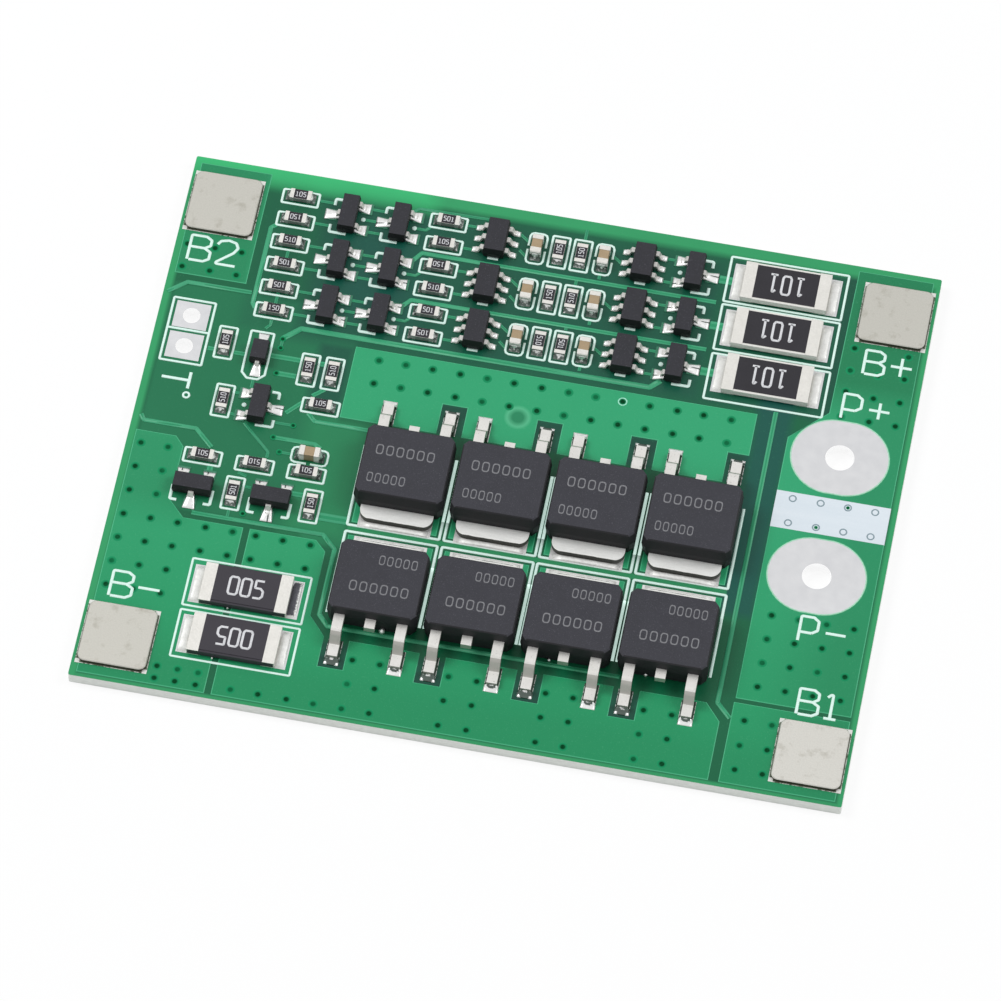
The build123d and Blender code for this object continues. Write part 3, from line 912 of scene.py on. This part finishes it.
# %% Tracks
tracks = {
    0.26: [
        [(8.0, 26.7), (8.0, 26.0)], [(7.6, 25.4), (6.9, 25.4)], [(7.6, 23.5), (6.9, 23.6)],
        [(8.1, 23.0), (10.3, 20.9), (10.3, 20.4)], [(10.3, 23.45), (11.65, 23.45)],
        [(11.1, 21.05), (12.0, 21.05)], [(9.43, 30.55), (9.43, 29.77)],
        [(8.3, 32.0), (8.3, 31.6), (8.0, 31.2)], [(8.5, 18.8), (9.2, 18.6)], [(9.2, 17.7), (9.7, 17.7)],
        [(8.5, 15.6), (8.5, 15.0)], [(8.3, 33.0), (8.3, 34.6)], [(8.3, 36.6), (8.3, 38.2)],
        [(29.6, 43.3), (29.6, 44.2)], [(16.3, 42.9), (17.1, 43.62), (22.3, 43.7)],
        [(29.6, 39.3), (29.6, 39.9)], [(29.6, 35.3), (29.6, 35.7)],
    ],
    0.36: [
        [(11.9, 25.5), (10.9, 24.4)], [(13.3, 26.9), (12.5, 26.2)],
        [(12.5, 24.7), (13.1, 24.1), (17.3, 24.1)], [(10.42, 22.2), (13.5, 22.2), (14.0, 21.9)],
        [(0.6, 22.3), (0.9, 21.85), (4.8, 21.85), (6.2, 20.5)],
        [(5.9, 14.85), (15.6, 14.85), (16.65, 13.8), (16.65, 8.3), (17.4, 7.45), (38.7, 7.42)],
        [(0.3, 33.0), (1.6, 34.05), (6.4, 34.05)], [(6.9, 32.8), (6.65, 33.2), (6.65, 39.9), (7.0, 40.2)],
        [(45.92, 31.4), (45.92, 6.7), (47.0, 5.6)], [(17.4, 39.0), (18.0, 39.85), (40.0, 39.85)],
        [(17.4, 35.0), (18.0, 35.7), (40.0, 35.7)], [(4.2, 28.75), (4.7, 28.75)],
        [(6.1, 28.75), (7.0, 28.75)],
    ],
    0.45: [
        [(9.4, 30.6), (10.6, 31.7), (36.5, 31.7), (37.2, 32.4)], [(9.55, 27.6), (11.0, 27.6)],
        [(8.8, 29.0), (11.1, 29.0)], [(12.5, 29.0), (12.9, 29.0)], [(6.45, 19.0), (6.45, 18.4)],
        [(12.7, 17.8), (13.5, 17.8)],
    ],
    0.7: [[(15.0, 16.3), (17.1, 16.3)]],
}
row_runs = {
    0.26: [
        [(13.2, 0), (14.2, 0)], [(17.05, 0), (17.9, 0), (18.2, 0.3)], [(24.8, 1.03), (25.6, 0.43)],
        [(25.0, -0.37), (25.6, -0.87)], [(31.9, 0.43), (32.6, -0.07)], [(31.2, -1.2), (31.2, -1.75)],
    ],
    0.7: [[(39.9, 0), (41.0, 0)]],
}
row_levels = [33.81, 37.84, 41.87]
for side in (-1, 1):
    row_runs[0.26] += [[(left, side), (right, side)]
                       for left, right in ((9.75, 10.9), (13.6, 14.7), (20.9, 21.6), (35.9, 36.8))]


def on_row(lines, level):
    return [[(x, level + up) for x, up in line] for line in lines]


for level in row_levels:
    for width, runs in row_runs.items():
        tracks[width] += on_row(runs, level)
for number, (width, runs) in enumerate(tracks.items()):
    rule = mask_over_thin_track if width < 0.3 else mask_over_wide_track
    stroke(f"tracks_{number + 1}", runs, width, 0.031, rule)

# %% Mask edge round the pads
rims = [closed(pad_opening(node, 0.01)[::-1]) for node in output_pads]
stroke("pad_rims", rims, 0.13, RELIEF + 0.022, mask_edge_round_pads, rounding=0.0)

# %% [markdown]
# Printed marks are thick white ink. Outlines round the parts take their size from the CAD solids, and the
# letters come from a small table of pen strokes, because a font file would have to be read from disk. Only
# plain polarity marks and plain digits are drawn.

# %% Outlines round the parts
PRINT = 0.047


def ring(x0, y0, x1, y1):
    return closed(rectangle(x0, y0, x1, y1))


def around(box, reach, side):
    """The corners of an outline round a part, further out at its ends than at its sides."""
    grow_x, grow_y = (reach, side) if box.along_x else (side, reach)
    return box.low[0] - grow_x, box.low[1] - grow_y, box.high[0] + grow_x, box.high[1] + grow_y


outlines = []
for core in solids("chip_resistor_cores"):
    x0, y0, x1, y1 = around(core, (2.70 - max(core.size[:2])) / 2, (1.29 - min(core.size[:2])) / 2)
    outlines.append(ring(x0, y0, x1, y1 - 0.12 * core.along_x))
outlines += [ring(40.5, y0 + 0.07, 49.25, y0 + 4.0) for y0 in (40.0, 35.8, 31.5)]
outlines += [
    ring(6.82, 7.22, 15.53, 11.13),
    ring(6.82, 2.92, 15.53, 6.83),
    ring(0.92, 27.17, 4.03, 32.6),
    [(0.92, 29.98), (4.03, 29.98)],
    closed([(7.05, 30.85), (8.75, 30.85), (8.75, 27.25), (8.3, 26.8), (7.5, 26.8), (7.05, 27.25)]),
]
cell_lines = []
for left, right in cell_sides:
    for outer, inner in ((22.85, 16.05), (8.6, 15.5)):
        cell_lines.append([(left, outer), (left, inner), (right, inner), (right, outer)])
stroke("part_outlines", outlines, 0.2, PRINT, white_print)
stroke("cell_outlines", cell_lines, 0.23, PRINT, white_print_between_cases)

row_brackets = [
    [(10.9, 0.85), (10.9, 1.4), (11.45, 1.4)], [(10.9, -0.85), (10.9, -1.5), (12.15, -1.5)],
    [(14.75, 0.85), (14.75, 1.4), (15.3, 1.4)], [(14.75, -0.85), (14.75, -1.5), (16.0, -1.5)],
    [(22.8, -1.47), (23.6, -1.47)], [(33.8, -1.49), (34.6, -1.49)],
    [(38.65, 1.38), (39.25, 1.38), (39.25, 0.83)], [(38.0, -1.5), (39.28, -1.5), (39.28, -0.92)],
]
brackets = [line for level in row_levels for line in on_row(row_brackets, level)]
brackets += [
    [(9.6, 25.95), (10.15, 25.95), (10.15, 25.4)], [(8.9, 23.0), (10.15, 23.0), (10.15, 23.6)],
    [(4.1, 16.9), (4.1, 15.7), (4.6, 15.7)], [(7.05, 16.9), (7.05, 15.7), (6.55, 15.7)],
    [(9.8, 16.9), (9.8, 15.7), (10.3, 15.7)], [(12.8, 16.9), (12.8, 15.7), (12.3, 15.7)],
]
stroke("part_brackets", brackets, 0.25, PRINT, white_print)

rounded = []
for body in solids("capacitor_bodies"):
    x0, y0, x1, y1 = around(body, 0.95, 0.27)
    for gap, end_x, end_y in ((-0.15, x0, y0), (0.15, x1, y1)):
        if body.along_x:
            start = body.middle[0] + gap
            rounded.append([(start, y0), (end_x, y0), (end_x, y1), (start, y1)])
        else:
            start = body.middle[1] + gap
            rounded.append([(x0, start), (x0, end_y), (x1, end_y), (x1, start)])
stroke("capacitor_outlines", rounded, 0.19, PRINT, white_print, rounding=0.3)

# %% Letters
pen = {
    "0": [closed([(0.1, 0), (0.5, 0), (0.6, 0.12), (0.6, 0.88), (0.5, 1), (0.1, 1), (0, 0.88), (0, 0.12)])],
    "1": [[(0.08, 0.82), (0.3, 1), (0.3, 0)], [(0.05, 0), (0.55, 0)]],
    "2": [[(0, 0.78), (0.08, 0.93), (0.3, 1), (0.52, 0.93), (0.6, 0.74), (0.5, 0.52), (0, 0), (0.62, 0)]],
    "5": [[(0.58, 1), (0.04, 1), (0.04, 0.57), (0.42, 0.57), (0.6, 0.42), (0.6, 0.14), (0.45, 0), (0, 0)]],
    "B": [[(0, 0), (0, 1), (0.42, 1), (0.57, 0.88), (0.57, 0.66), (0.42, 0.53)],
          [(0, 0.53), (0.42, 0.53), (0.6, 0.4), (0.6, 0.12), (0.45, 0), (0.05, 0)]],
    "P": [[(0, 0), (0, 1), (0.42, 1), (0.6, 0.86), (0.6, 0.5), (0.42, 0.36)], [(0, 0.36), (0.42, 0.36)]],
    "T": [[(0, 1), (0.6, 1)], [(0.3, 1), (0.3, 0)]],
    "+": [[(0, 0.5), (0.6, 0.5)], [(0.3, 0.2), (0.3, 0.8)]],
    "-": [[(0, 0.5), (0.6, 0.5)]],
}


def write(sign, x0, y0, x1, y1, z=0.0, turn=0):
    """One sign fitted to a rectangle, turned by quarter turns about the rectangle's middle."""
    wide, tall = (x1 - x0, y1 - y0) if turn % 2 == 0 else (y1 - y0, x1 - x0)
    lines = []
    for points in pen[sign]:
        line = []
        for u, v in points:
            across, up = (u / 0.6 - 0.5) * wide, (v - 0.5) * tall
            for quarter in range(turn):
                across, up = -up, across
            line.append(((x0 + x1) / 2 + across, (y0 + y1) / 2 + up, z))
        lines.append(line)
    return lines


signs = [
    ("B", 1.1, 36.0, 2.7, 38.15), ("2", 3.1, 36.0, 4.65, 38.15),
    ("B", 51.55, 35.9, 53.05, 37.95), ("+", 53.5, 35.6, 55.05, 38.2),
    ("P", 50.6, 31.85, 51.95, 33.95), ("+", 52.55, 31.75, 54.05, 34.05),
    ("P", 50.65, 12.85, 51.95, 14.9), ("-", 52.55, 13.2, 54.0, 14.4),
    ("B", 51.55, 6.9, 53.05, 9.0), ("1", 53.45, 6.9, 54.5, 9.0),
    ("B", 1.45, 6.95, 3.05, 9.05), ("-", 3.45, 7.0, 5.0, 8.95),
    ("T", 1.4, 25.05, 3.45, 26.45, 0.0, 3),
]
stroke("polarity_marks", [line for sign in signs for line in write(*sign)], 0.25, PRINT, white_print)

# %% [markdown]
# The value digits on the chips are printed on the glaze, so their height comes from the coats' own boxes.
# They are plain numbers and are turned as the parts are.

# %% Digits on the chips
INK_SUNK = 0.004


def digits(word, box, height, width, gap, upside_down):
    """Digits centred on a part's top, read along its long side."""
    turn = (0 if box.along_x else 1) + (2 if upside_down else 0)
    step = -(width + gap) if upside_down else width + gap
    half_x, half_y = (width / 2, height / 2) if box.along_x else (height / 2, width / 2)
    lines = []
    for k, sign in enumerate(word):
        offset = (k - (len(word) - 1) / 2) * step
        x = box.middle[0] + (offset if box.along_x else 0)
        y = box.middle[1] + (0 if box.along_x else offset)
        lines += write(sign, x - half_x, y - half_y, x + half_x, y + half_y, box.high[2] - INK_SUNK, turn)
    return lines


small_lines = []
for number, coat in enumerate(sorted(solids("chip_resistor_coats"), key=lambda box: box.middle[:2])):
    word = ("105", "150", "510", "501")[number * 7 % 4]
    small_lines += digits(word, coat, 0.38, 0.19, 0.09, number % 3 == 1)
stroke("small_digits", small_lines, 0.06, 0.008, digit_print, "resistor_glaze", 0.015, 0.0)
large_lines = []
for coat in solids("balance_resistor_coats"):
    large_lines += digits("101", coat, 1.6, 0.62, 0.36, True)
for number, coat in enumerate(sorted(solids("shunt_resistor_coats"), key=lambda box: -box.middle[1])):
    large_lines += digits("005", coat, 1.45, 0.66, 0.26, number == 1)
stroke("large_digits", large_lines, 0.18, 0.01, digit_print, "resistor_glaze", 0.05, 0.0)

# %% [markdown]
# The white block between the output pads is a printed area, thick enough to hide the green. It is one slab
# like the copper planes, only whiter and a little higher.

# %% Printed block
join_slabs("printed_block", [slab(rectangle(47.1, 21.8, 55.5, 24.95), SUNK, PRINT, 0.02)], white_print_block)

# %% [markdown]
# Vias, dots of print, solder joints and stray beads are one shape each, repeated with other sizes. A second
# Geometry Nodes tree puts a shape on every point, with the point's own size and turn, roughens it with
# noise so that no two look alike, and ends in plain mesh.

# %% The scatter tree
bench, given = geometry_tree("scatter", Shape="Object", Unevenness="Float", Lump="Float", Seed="Float",
                             Material="Material")
shape = bench.node("GeometryNodeObjectInfo", {"Object": given["Shape"]}, "Geometry")
size, turn = (bench.node("GeometryNodeInputNamedAttribute", {"Name": name}, data_type="FLOAT_VECTOR")
              for name in ("size", "turn"))
solid = bench.node("GeometryNodeInstanceOnPoints", {"Points": given["Geometry"], "Instance": shape,
                                                    "Rotation": turn, "Scale": size})
solid = bench.node("GeometryNodeRealizeInstances", {"Geometry": solid})
crown = bench.node("GeometryNodeInputNamedAttribute", {"Name": "crown"}, data_type="FLOAT")
noise = bench.node("ShaderNodeTexNoise", {
    "Vector": bench.node("GeometryNodeInputPosition"), "W": given["Seed"], "Scale": 1.0 / given["Lump"],
    "Detail": 1.0}, noise_dimensions="4D")
lift = bench.node("ShaderNodeCombineXYZ", {"Z": (noise - 0.5) * crown * given["Unevenness"]})
solid = bench.node("GeometryNodeSetPosition", {"Geometry": solid, "Offset": lift})
scatter_group = close_tree(bench, solid, given["Material"])


def shape_object(name, points, faces, crown, painted_sheen=None):
    """A shape to repeat. Its crown says how far noise may move each point, and its painted sheen how bright
    solder on it is painted.
    """
    mesh = new_mesh(name, points, [], faces)
    for label, values in (("crown", crown), ("painted_sheen", painted_sheen or [1.0] * len(points))):
        mesh.attributes.new(label, "FLOAT", "POINT").data.foreach_set("value", values)
    mesh.polygons.foreach_set("use_smooth", [True] * len(mesh.polygons))
    return bpy.data.objects.new(name, mesh)


def scatter(name, spots, shape, rule, unevenness=0.0, lump=0.4, seed=1.0, slot="tinned_copper"):
    """A shape on every spot. A spot is (x, y, z, size along, size across, height, turn in degrees)."""
    mesh = new_mesh(name, [at(*spot[:3]) for spot in spots])
    sizes = [value * MM for spot in spots for value in spot[3:6]]
    turns = [value for spot in spots for value in (0, 0, math.radians(spot[6]))]
    for label, values in (("size", sizes), ("turn", turns)):
        mesh.attributes.new(label, "FLOAT_VECTOR", "POINT").data.foreach_set("vector", values)
    grow(name, mesh, scatter_group, slot, Shape=shape, Unevenness=unevenness * MM, Lump=lump * MM, Seed=seed,
         Material=rule.material)


# %% [markdown]
# The via's shape is turned like a shallow dish: a ring that swells from the mask, and a dimple in it that
# goes down to just above the copper. Its crown runs from 0 at the rim to 1 in the dimple, and the material
# darkens with it. Through the white block only a greyish ring shows, and two of them stay open.

# %% Vias
def turned(name, profile, sides):
    """A closed shape turned about Z from (radius, height, crown) points, outside to middle, and its base."""
    points, crown, faces = [], [], []
    for radius, height, value in profile[:-1]:
        for k in range(sides):
            angle = 2 * math.pi * k / sides
            points.append((radius * math.cos(angle), radius * math.sin(angle), height))
            crown.append(value)
    last = len(points) - sides
    points.append((0, 0, profile[-1][1]))
    crown.append(profile[-1][2])
    for low in range(0, last, sides):
        for k in range(sides):
            after = (k + 1) % sides
            faces.append((low + k, low + after, low + sides + after, low + sides + k))
    faces += [(last + k, last + (k + 1) % sides, len(points) - 1) for k in range(sides)]
    faces.append(tuple(range(sides - 1, -1, -1)))
    return shape_object(name, points, faces, crown)


def lattice(columns, rows):
    return [(x, y) for y in rows for x in columns]


def circles(places, radius, z=0.0):
    """Closed rounds of twelve corners, as lines for a stroke."""
    rim = [(radius * math.cos(k * math.pi / 6), radius * math.sin(k * math.pi / 6)) for k in range(12)]
    return [closed([(x + across, y + up, z) for across, up in rim]) for x, y in places]


via_shape = turned("via_shape", [(1.0, -0.3, 0.0), (0.98, 0.05, 0.02), (0.75, 0.2, 0.25), (0.55, 0.3, 0.5),
                                 (0.45, 0.2, 0.95), (0.0, 0.1, 1.0)], 14)
via_grids = [
    ([16.7, 18.7, 20.7, 22.75, 24.75, 26.75, 28.8, 30.8, 32.8, 34.8, 36.8, 38.85, 40.8, 42.85], [30.1, 28.1]),
    ([19.7, 21.7, 26.7, 28.75, 33.75, 35.75, 40.85, 42.9], [5.05, 3.05, 1.0]),
    ([11.63, 13.63, 15.7, 17.65], [1.0]),
    ([6.1, 7.6, 9.1], [1.9, 0.9]),
    ([1.1, 3.1, 5.1, 7.15, 9.15, 10.85, 12.85, 14.87], [13.8, 11.8]),
    ([1.1, 3.1, 5.1], [9.8, 7.8]),
    ([1.1, 3.1], [19.9, 17.87, 15.85]),
    ([0.9, 2.97, 4.97], [37.3, 35.3]),
    ([50.65, 54.65], [37.9, 35.95]),
    ([52.7, 54.65], [33.9, 31.87]),
    ([50.62], [34.12, 31.95]),
    ([52.71], [35.88]),
    ([48.5, 50.5, 52.5, 54.5], [14.5, 12.5, 10.5, 8.5]),
    ([48.05, 50.05], [5.6, 3.55, 1.55]),
]
via_places = [place for grid in via_grids for place in lattice(*grid)]
track_vias = [(9.43, 30.55), (9.43, 29.77), (9.55, 27.6), (11.65, 23.45), (10.42, 22.2), (11.1, 21.05),
              (9.55, 15.45)]
spots = [(x, y, RELIEF - 0.001, 0.36, 0.36, 0.02, 37 * k % 360) for k, (x, y) in enumerate(via_places)]
spots += [(x, y, RELIEF - 0.004, 0.24, 0.24, 0.02, 0) for x, y in track_vias]
scatter("vias", spots, via_shape, mask_in_via, slot="masked_laminate")
block_vias = lattice([48.35, 50.4, 52.4, 54.4], [24.4, 22.33])
stroke("block_via_rings", circles(block_vias, 0.25, 0.01), 0.14, 0.041, thin_print_on_rings,
       rounding=0.0, hair=0.0)
open_vias = [(x, y, PRINT - 0.001, 0.16, 0.16, 0.01, 0) for x, y in ((52.4, 24.4), (50.4, 22.33))]
scatter("block_vias", open_vias, via_shape, mask_in_via, slot="masked_laminate")

# %% Dots and beads
dot_shape = turned("dot_shape", [(1.0, -0.2, 0.0), (0.98, 0.55, 0.3), (0.7, 0.95, 1.0), (0.0, 1.0, 1.0)], 12)
dots = [(x, level) for x in (13.2, 17.05, 36.97) for level in row_levels] + [(7.8, 24.5)]
dot_spots = [(x, y, 0.0, 0.19, 0.19, PRINT, 0) for x, y in dots]
scatter("print_dots", dot_spots, dot_shape, white_print, slot="masked_laminate")
stroke("print_rings", circles([(3.48, 24.5)], 0.23), 0.18, PRINT, white_print, rounding=0.0)
stroke("via_ring", circles([(34.8, 30.1)], 0.31), 0.13, RELIEF + 0.012, mask_edge_round_via, rounding=0.0)

bead_shape = turned("bead_shape", [(0.55, -0.1, 0.0), (0.92, 0.3, 0.2), (1.0, 0.8, 0.5), (0.8, 1.45, 0.8),
                                   (0.4, 1.85, 1.0), (0.0, 1.95, 1.0)], 10)
beads = [(21.33, 7.72, 0.24), (33.5, 7.75, 0.13), (40.5, 7.9, 0.17), (10.08, 7.51, 0.09), (9.83, 3.26, 0.09)]
scatter("solder_beads", [(x, y, 0.0, r, r, r, 0) for x, y, r in beads], bead_shape, solder, 0.02, 0.2)

# %% [markdown]
# Solder joins every lead and end to its land, and each kind of joint has its own look, with its light and
# shade painted in. A chip's ramp is painted bright at the metal and darker further out, a small lead stands
# in a fan, some with the painted shade of a cleft at its end, a big lead's toe gets its own foot painted in
# as a dark half moon of reflection, a gate's toe is painted dark but for two corners, and wide lands carry a
# low dull pillow.
# Each is a small closed grid whose height follows a rule, and a number on its points tells the solder finish
# where to paint it bright and where dark. The joints are found from the CAD boxes: each land looks for the
# nearest part body, which gives the outward side, and for the nearest metal, which gives the solder its
# start.

# %% Solder shapes
def grid_shape(name, columns, rows, height, painted_sheen=lambda u, v: 1.0, narrow=0.0, sink=-0.3):
    """A closed grid, u from 0 to 1 outwards and v from -1 to 1 across, narrower at its start if asked."""
    points, crown, bright, faces = [], [], [], []
    wide = columns + 1
    for j in range(rows + 1):
        for i in range(wide):
            u, v = i / columns, 2 * j / rows - 1
            points.append((u, v / 2 * (1 - narrow * (1 - u)), height(u, v)))
            crown.append(math.sin(math.pi * u) ** 0.5 * (1 - v * v) ** 0.5)
            bright.append(painted_sheen(u, v))
    for j in range(rows):
        for i in range(columns):
            here = j * wide + i
            faces.append((here, here + 1, here + wide + 1, here + wide))
    rim = list(range(wide)) + [j * wide + columns for j in range(1, rows + 1)]
    rim += [rows * wide + i for i in range(columns - 1, -1, -1)] + [j * wide for j in range(rows - 1, 0, -1)]
    start = len(points)
    points += [(points[k][0], points[k][1], sink) for k in rim]
    crown += [0.0] * len(rim)
    bright += [bright[k] for k in rim]
    for k in range(len(rim)):
        after = (k + 1) % len(rim)
        faces.append((rim[after], rim[k], start + k, start + after))
    faces.append(tuple(range(start + len(rim) - 1, start - 1, -1)))
    return shape_object(name, points, faces, crown, bright)


def pillow_height(u, v):
    return max(0.0, (1 - abs(2 * u - 1) ** 3) * (1 - abs(v) ** 3)) ** 0.6


def ramp_height(u, v):
    return 0.04 + (1 - u) ** 1.7 * (1 - 0.55 * abs(v) ** 3)


def fan_height(u, v):
    return (0.1 + 0.9 * (1 - u) ** 1.2) * (1 - 0.5 * abs(v) ** 2)


# painted reflection: a chip's ramp is bright at the metal and darker further out and towards its sides
def ramp_shine(u, v):
    return min(1.0, max(0.32, 1.15 - 1.3 * u - 0.9 * abs(v)))


def toe_shine(u, v):
    """Painted reflection on a toe: a grey spot at the foot, a dark bow round it where the foot is mirrored,
    and a bright rim.
    """
    reach = math.hypot(1.1 * u, 0.85 * v)
    if u < 0.1:
        return 0.2
    return 0.55 if reach < 0.3 else 0.0 if reach < 0.6 else 1.0


def gate_shine(u, v):
    """Painted reflection on a gate's toe: a grey spot at the foot, dark round it, and bright only at the two
    outer corners.
    """
    if math.hypot(1.1 * u, 0.85 * v) < 0.38:
        return 0.5
    return 1.0 if u > 0.68 and abs(v) > 0.6 else 0.0


def cleft_shine(u, v):
    """Bright, with the painted shade of a cleft at the outer end."""
    return 0.0 if u > 0.55 and abs(v - 0.3) < 0.13 else 1.0


pillow_shape = grid_shape("pillow_shape", 6, 6, pillow_height)
chip_ramp_shape = grid_shape("chip_ramp_shape", 6, 6, ramp_height, ramp_shine)
toe_shape = grid_shape("toe_shape", 7, 8, ramp_height, toe_shine)
gate_shape = grid_shape("gate_shape", 7, 8, ramp_height, gate_shine)
fan_shapes = [grid_shape("cleft_fan_shape", 7, 8, fan_height, cleft_shine, narrow=0.4),
              grid_shape("plain_fan_shape", 7, 8, fan_height, narrow=0.4)]
print("solder shapes:", len(pillow_shape.data.polygons), "to", len(toe_shape.data.polygons), "faces")


# %% Find the joints
SOLDER_FLOOR = 0.046


class Joint:
    """One land with its outward side and the metal that stands on it."""

    def __init__(self, land, body, metal):
        away = [land.middle[axis] - body.middle[axis] for axis in (0, 1)]
        self.land, self.metal = land, metal
        self.axis = 0 if abs(away[0]) > abs(away[1]) else 1
        self.sign = 1 if away[self.axis] > 0 else -1
        self.turn = 90 * self.axis + (0 if self.sign > 0 else 180)
        self.outer = (land.high if self.sign > 0 else land.low)[self.axis]
        self.face = (metal.high if self.sign > 0 else metal.low)[self.axis]
        self.room = (self.outer - self.face) * self.sign
        self.is_gate = away[0] * self.sign > 0
        self.is_single = abs(away[1 - self.axis]) < 0.3
        self.width = land.size[1 - self.axis]

    def spot(self, start, length, width, height):
        """A spot for the scatter tree that starts at a place along the outward axis."""
        place = [self.land.middle[0], self.land.middle[1]]
        place[self.axis] = start
        return (*place, SOLDER_FLOOR, length, width, height, self.turn)

    def beside_metal(self, overlap, cut, width, height):
        """A spot that starts a little inside the metal and ends where the land does, or before."""
        return self.spot(self.face - self.sign * overlap, self.room - cut, width, height)


def joints(land_node, bodies, metals):
    body_boxes, metal_boxes = solids(*bodies), solids(*metals)
    return [Joint(land, min(body_boxes, key=land.distance), min(metal_boxes, key=land.distance))
            for land in solids(land_node)]


def nodes(power, *endings):
    """Names of the CAD nodes with some endings, on the power transistors or on the other parts."""
    return [name for name in sorted(frame["nodes"]) if name.endswith(endings) and ("power" in name) == power]


small_joints = joints("small_package_lands", nodes(False, "_case", "_cases"), nodes(False, "_leads"))
chip_joints = joints("chip_lands", ["chip_resistor_cores", "capacitor_bodies"],
                     ["chip_resistor_ends", "capacitor_ends"])
large_joints = joints("power_resistor_lands", ["balance_resistor_cores", "shunt_resistor_cores"],
                      ["balance_resistor_ends", "shunt_resistor_ends"])
power_joints = joints("power_transistor_lands", nodes(True, "_case"), nodes(True, "_leads"))
print(len(small_joints), "small,", len(chip_joints), "chip,", len(large_joints), "large and",
      len(power_joints), "power joints")

# %% Solder on the small parts
FAN_LAND = 0.7
FAN_OVERLAP = 0.32
LAND_TOP = 0.05
chance = np.random.default_rng(7)
fans, blobs, chip_ramps = [[], []], [], []
for joint in small_joints:
    length = joint.land.size[joint.axis] - 0.04
    start = joint.outer - joint.sign * (length + 0.02)
    if joint.width > FAN_LAND:
        length += 0.47 if joint.is_single else 0.17
        start -= joint.sign * FAN_OVERLAP
        tall = 0.24 + 0.08 * chance.random()
        fans[int(chance.random() < 0.5)].append(joint.spot(start, length, joint.width - 0.04, tall))
    else:
        tall = 0.13 + 0.03 * chance.random()
        blobs.append(joint.spot(start, length, joint.width - 0.02, tall))
for joint in chip_joints:
    tall = (joint.metal.high[2] - LAND_TOP) * (0.6 + 0.2 * chance.random())
    chip_ramps.append(joint.beside_metal(0.03, 0.0, joint.width * 0.97, tall))
for k in range(2):
    scatter(f"small_solder_fans_{k + 1}", fans[k], fan_shapes[k], solder, 0.08, 0.25, 3.0)
scatter("small_solder_blobs", blobs, pillow_shape, solder, 0.06, 0.3, 4.0)
scatter("chip_solder_ramps", chip_ramps, chip_ramp_shape, solder, 0.05, 0.3, 5.0)

# %% Dull solder
darker_joint = max(large_joints, key=lambda joint: (joint.land.middle[0] < 20) * sum(joint.land.middle[:2]))
dark_patch = (darker_joint.face - 0.1, darker_joint.land.low[1] + 0.25, darker_joint.face + 0.55, darker_joint.land.high[1] - 0.15)


@finish
def dull_solder(bench):
    """Solder that froze grey and slightly wrinkled, with one land darker and speckled near its metal."""
    wrinkle, ragged = bench.grain(0.35, 4.0, 0.65), bench.grain(0.16, 4.0, 0.75)
    # one land is darker, speckled near-black over a patch beside its metal
    dark = (bench.patches((*dark_patch, 0.3, 3.0)) + (ragged - 0.5) * 5.0 - 1.1).clamp()
    tint = bench.mix(dark, bench.mix(wrinkle, (200, 199, 195), (254, 254, 251)),
                     bench.mix(ragged, (14, 14, 20), (110, 110, 118)))
    return bench.skin(tint, 0.42 + dark * 0.2, wrinkle, 0.035, 0.25)


# %% Solder on the large parts
SLUG_LAND = 3
pillows, slug_pillows, toes, gate_toes = [], [], [], []
for joint in large_joints:
    pillows.append(joint.beside_metal(0.02, 0.06, joint.width * 0.97, 0.1 + 0.04 * chance.random()))
for joint in power_joints:
    if joint.width > SLUG_LAND:
        slug_width = joint.metal.size[1 - joint.axis]
        slug_pillows.append(joint.beside_metal(0.02, 0.02, slug_width * 0.94, 0.12))
    else:
        spot = joint.beside_metal(0.02, 0.0, joint.width * 0.98, 0.24 + 0.08 * chance.random())
        (gate_toes if joint.is_gate else toes).append(spot)
scatter("large_solder_pillows", pillows, pillow_shape, dull_solder, 0.1, 0.5, 11.0)
scatter("slug_solder", slug_pillows, pillow_shape, dull_solder, 0.08, 0.6, 13.0)
scatter("lead_toes", toes, toe_shape, solder, 0.05, 0.3, 17.0)
scatter("gate_toes", gate_toes, gate_shape, solder, 0.05, 0.3, 17.0)
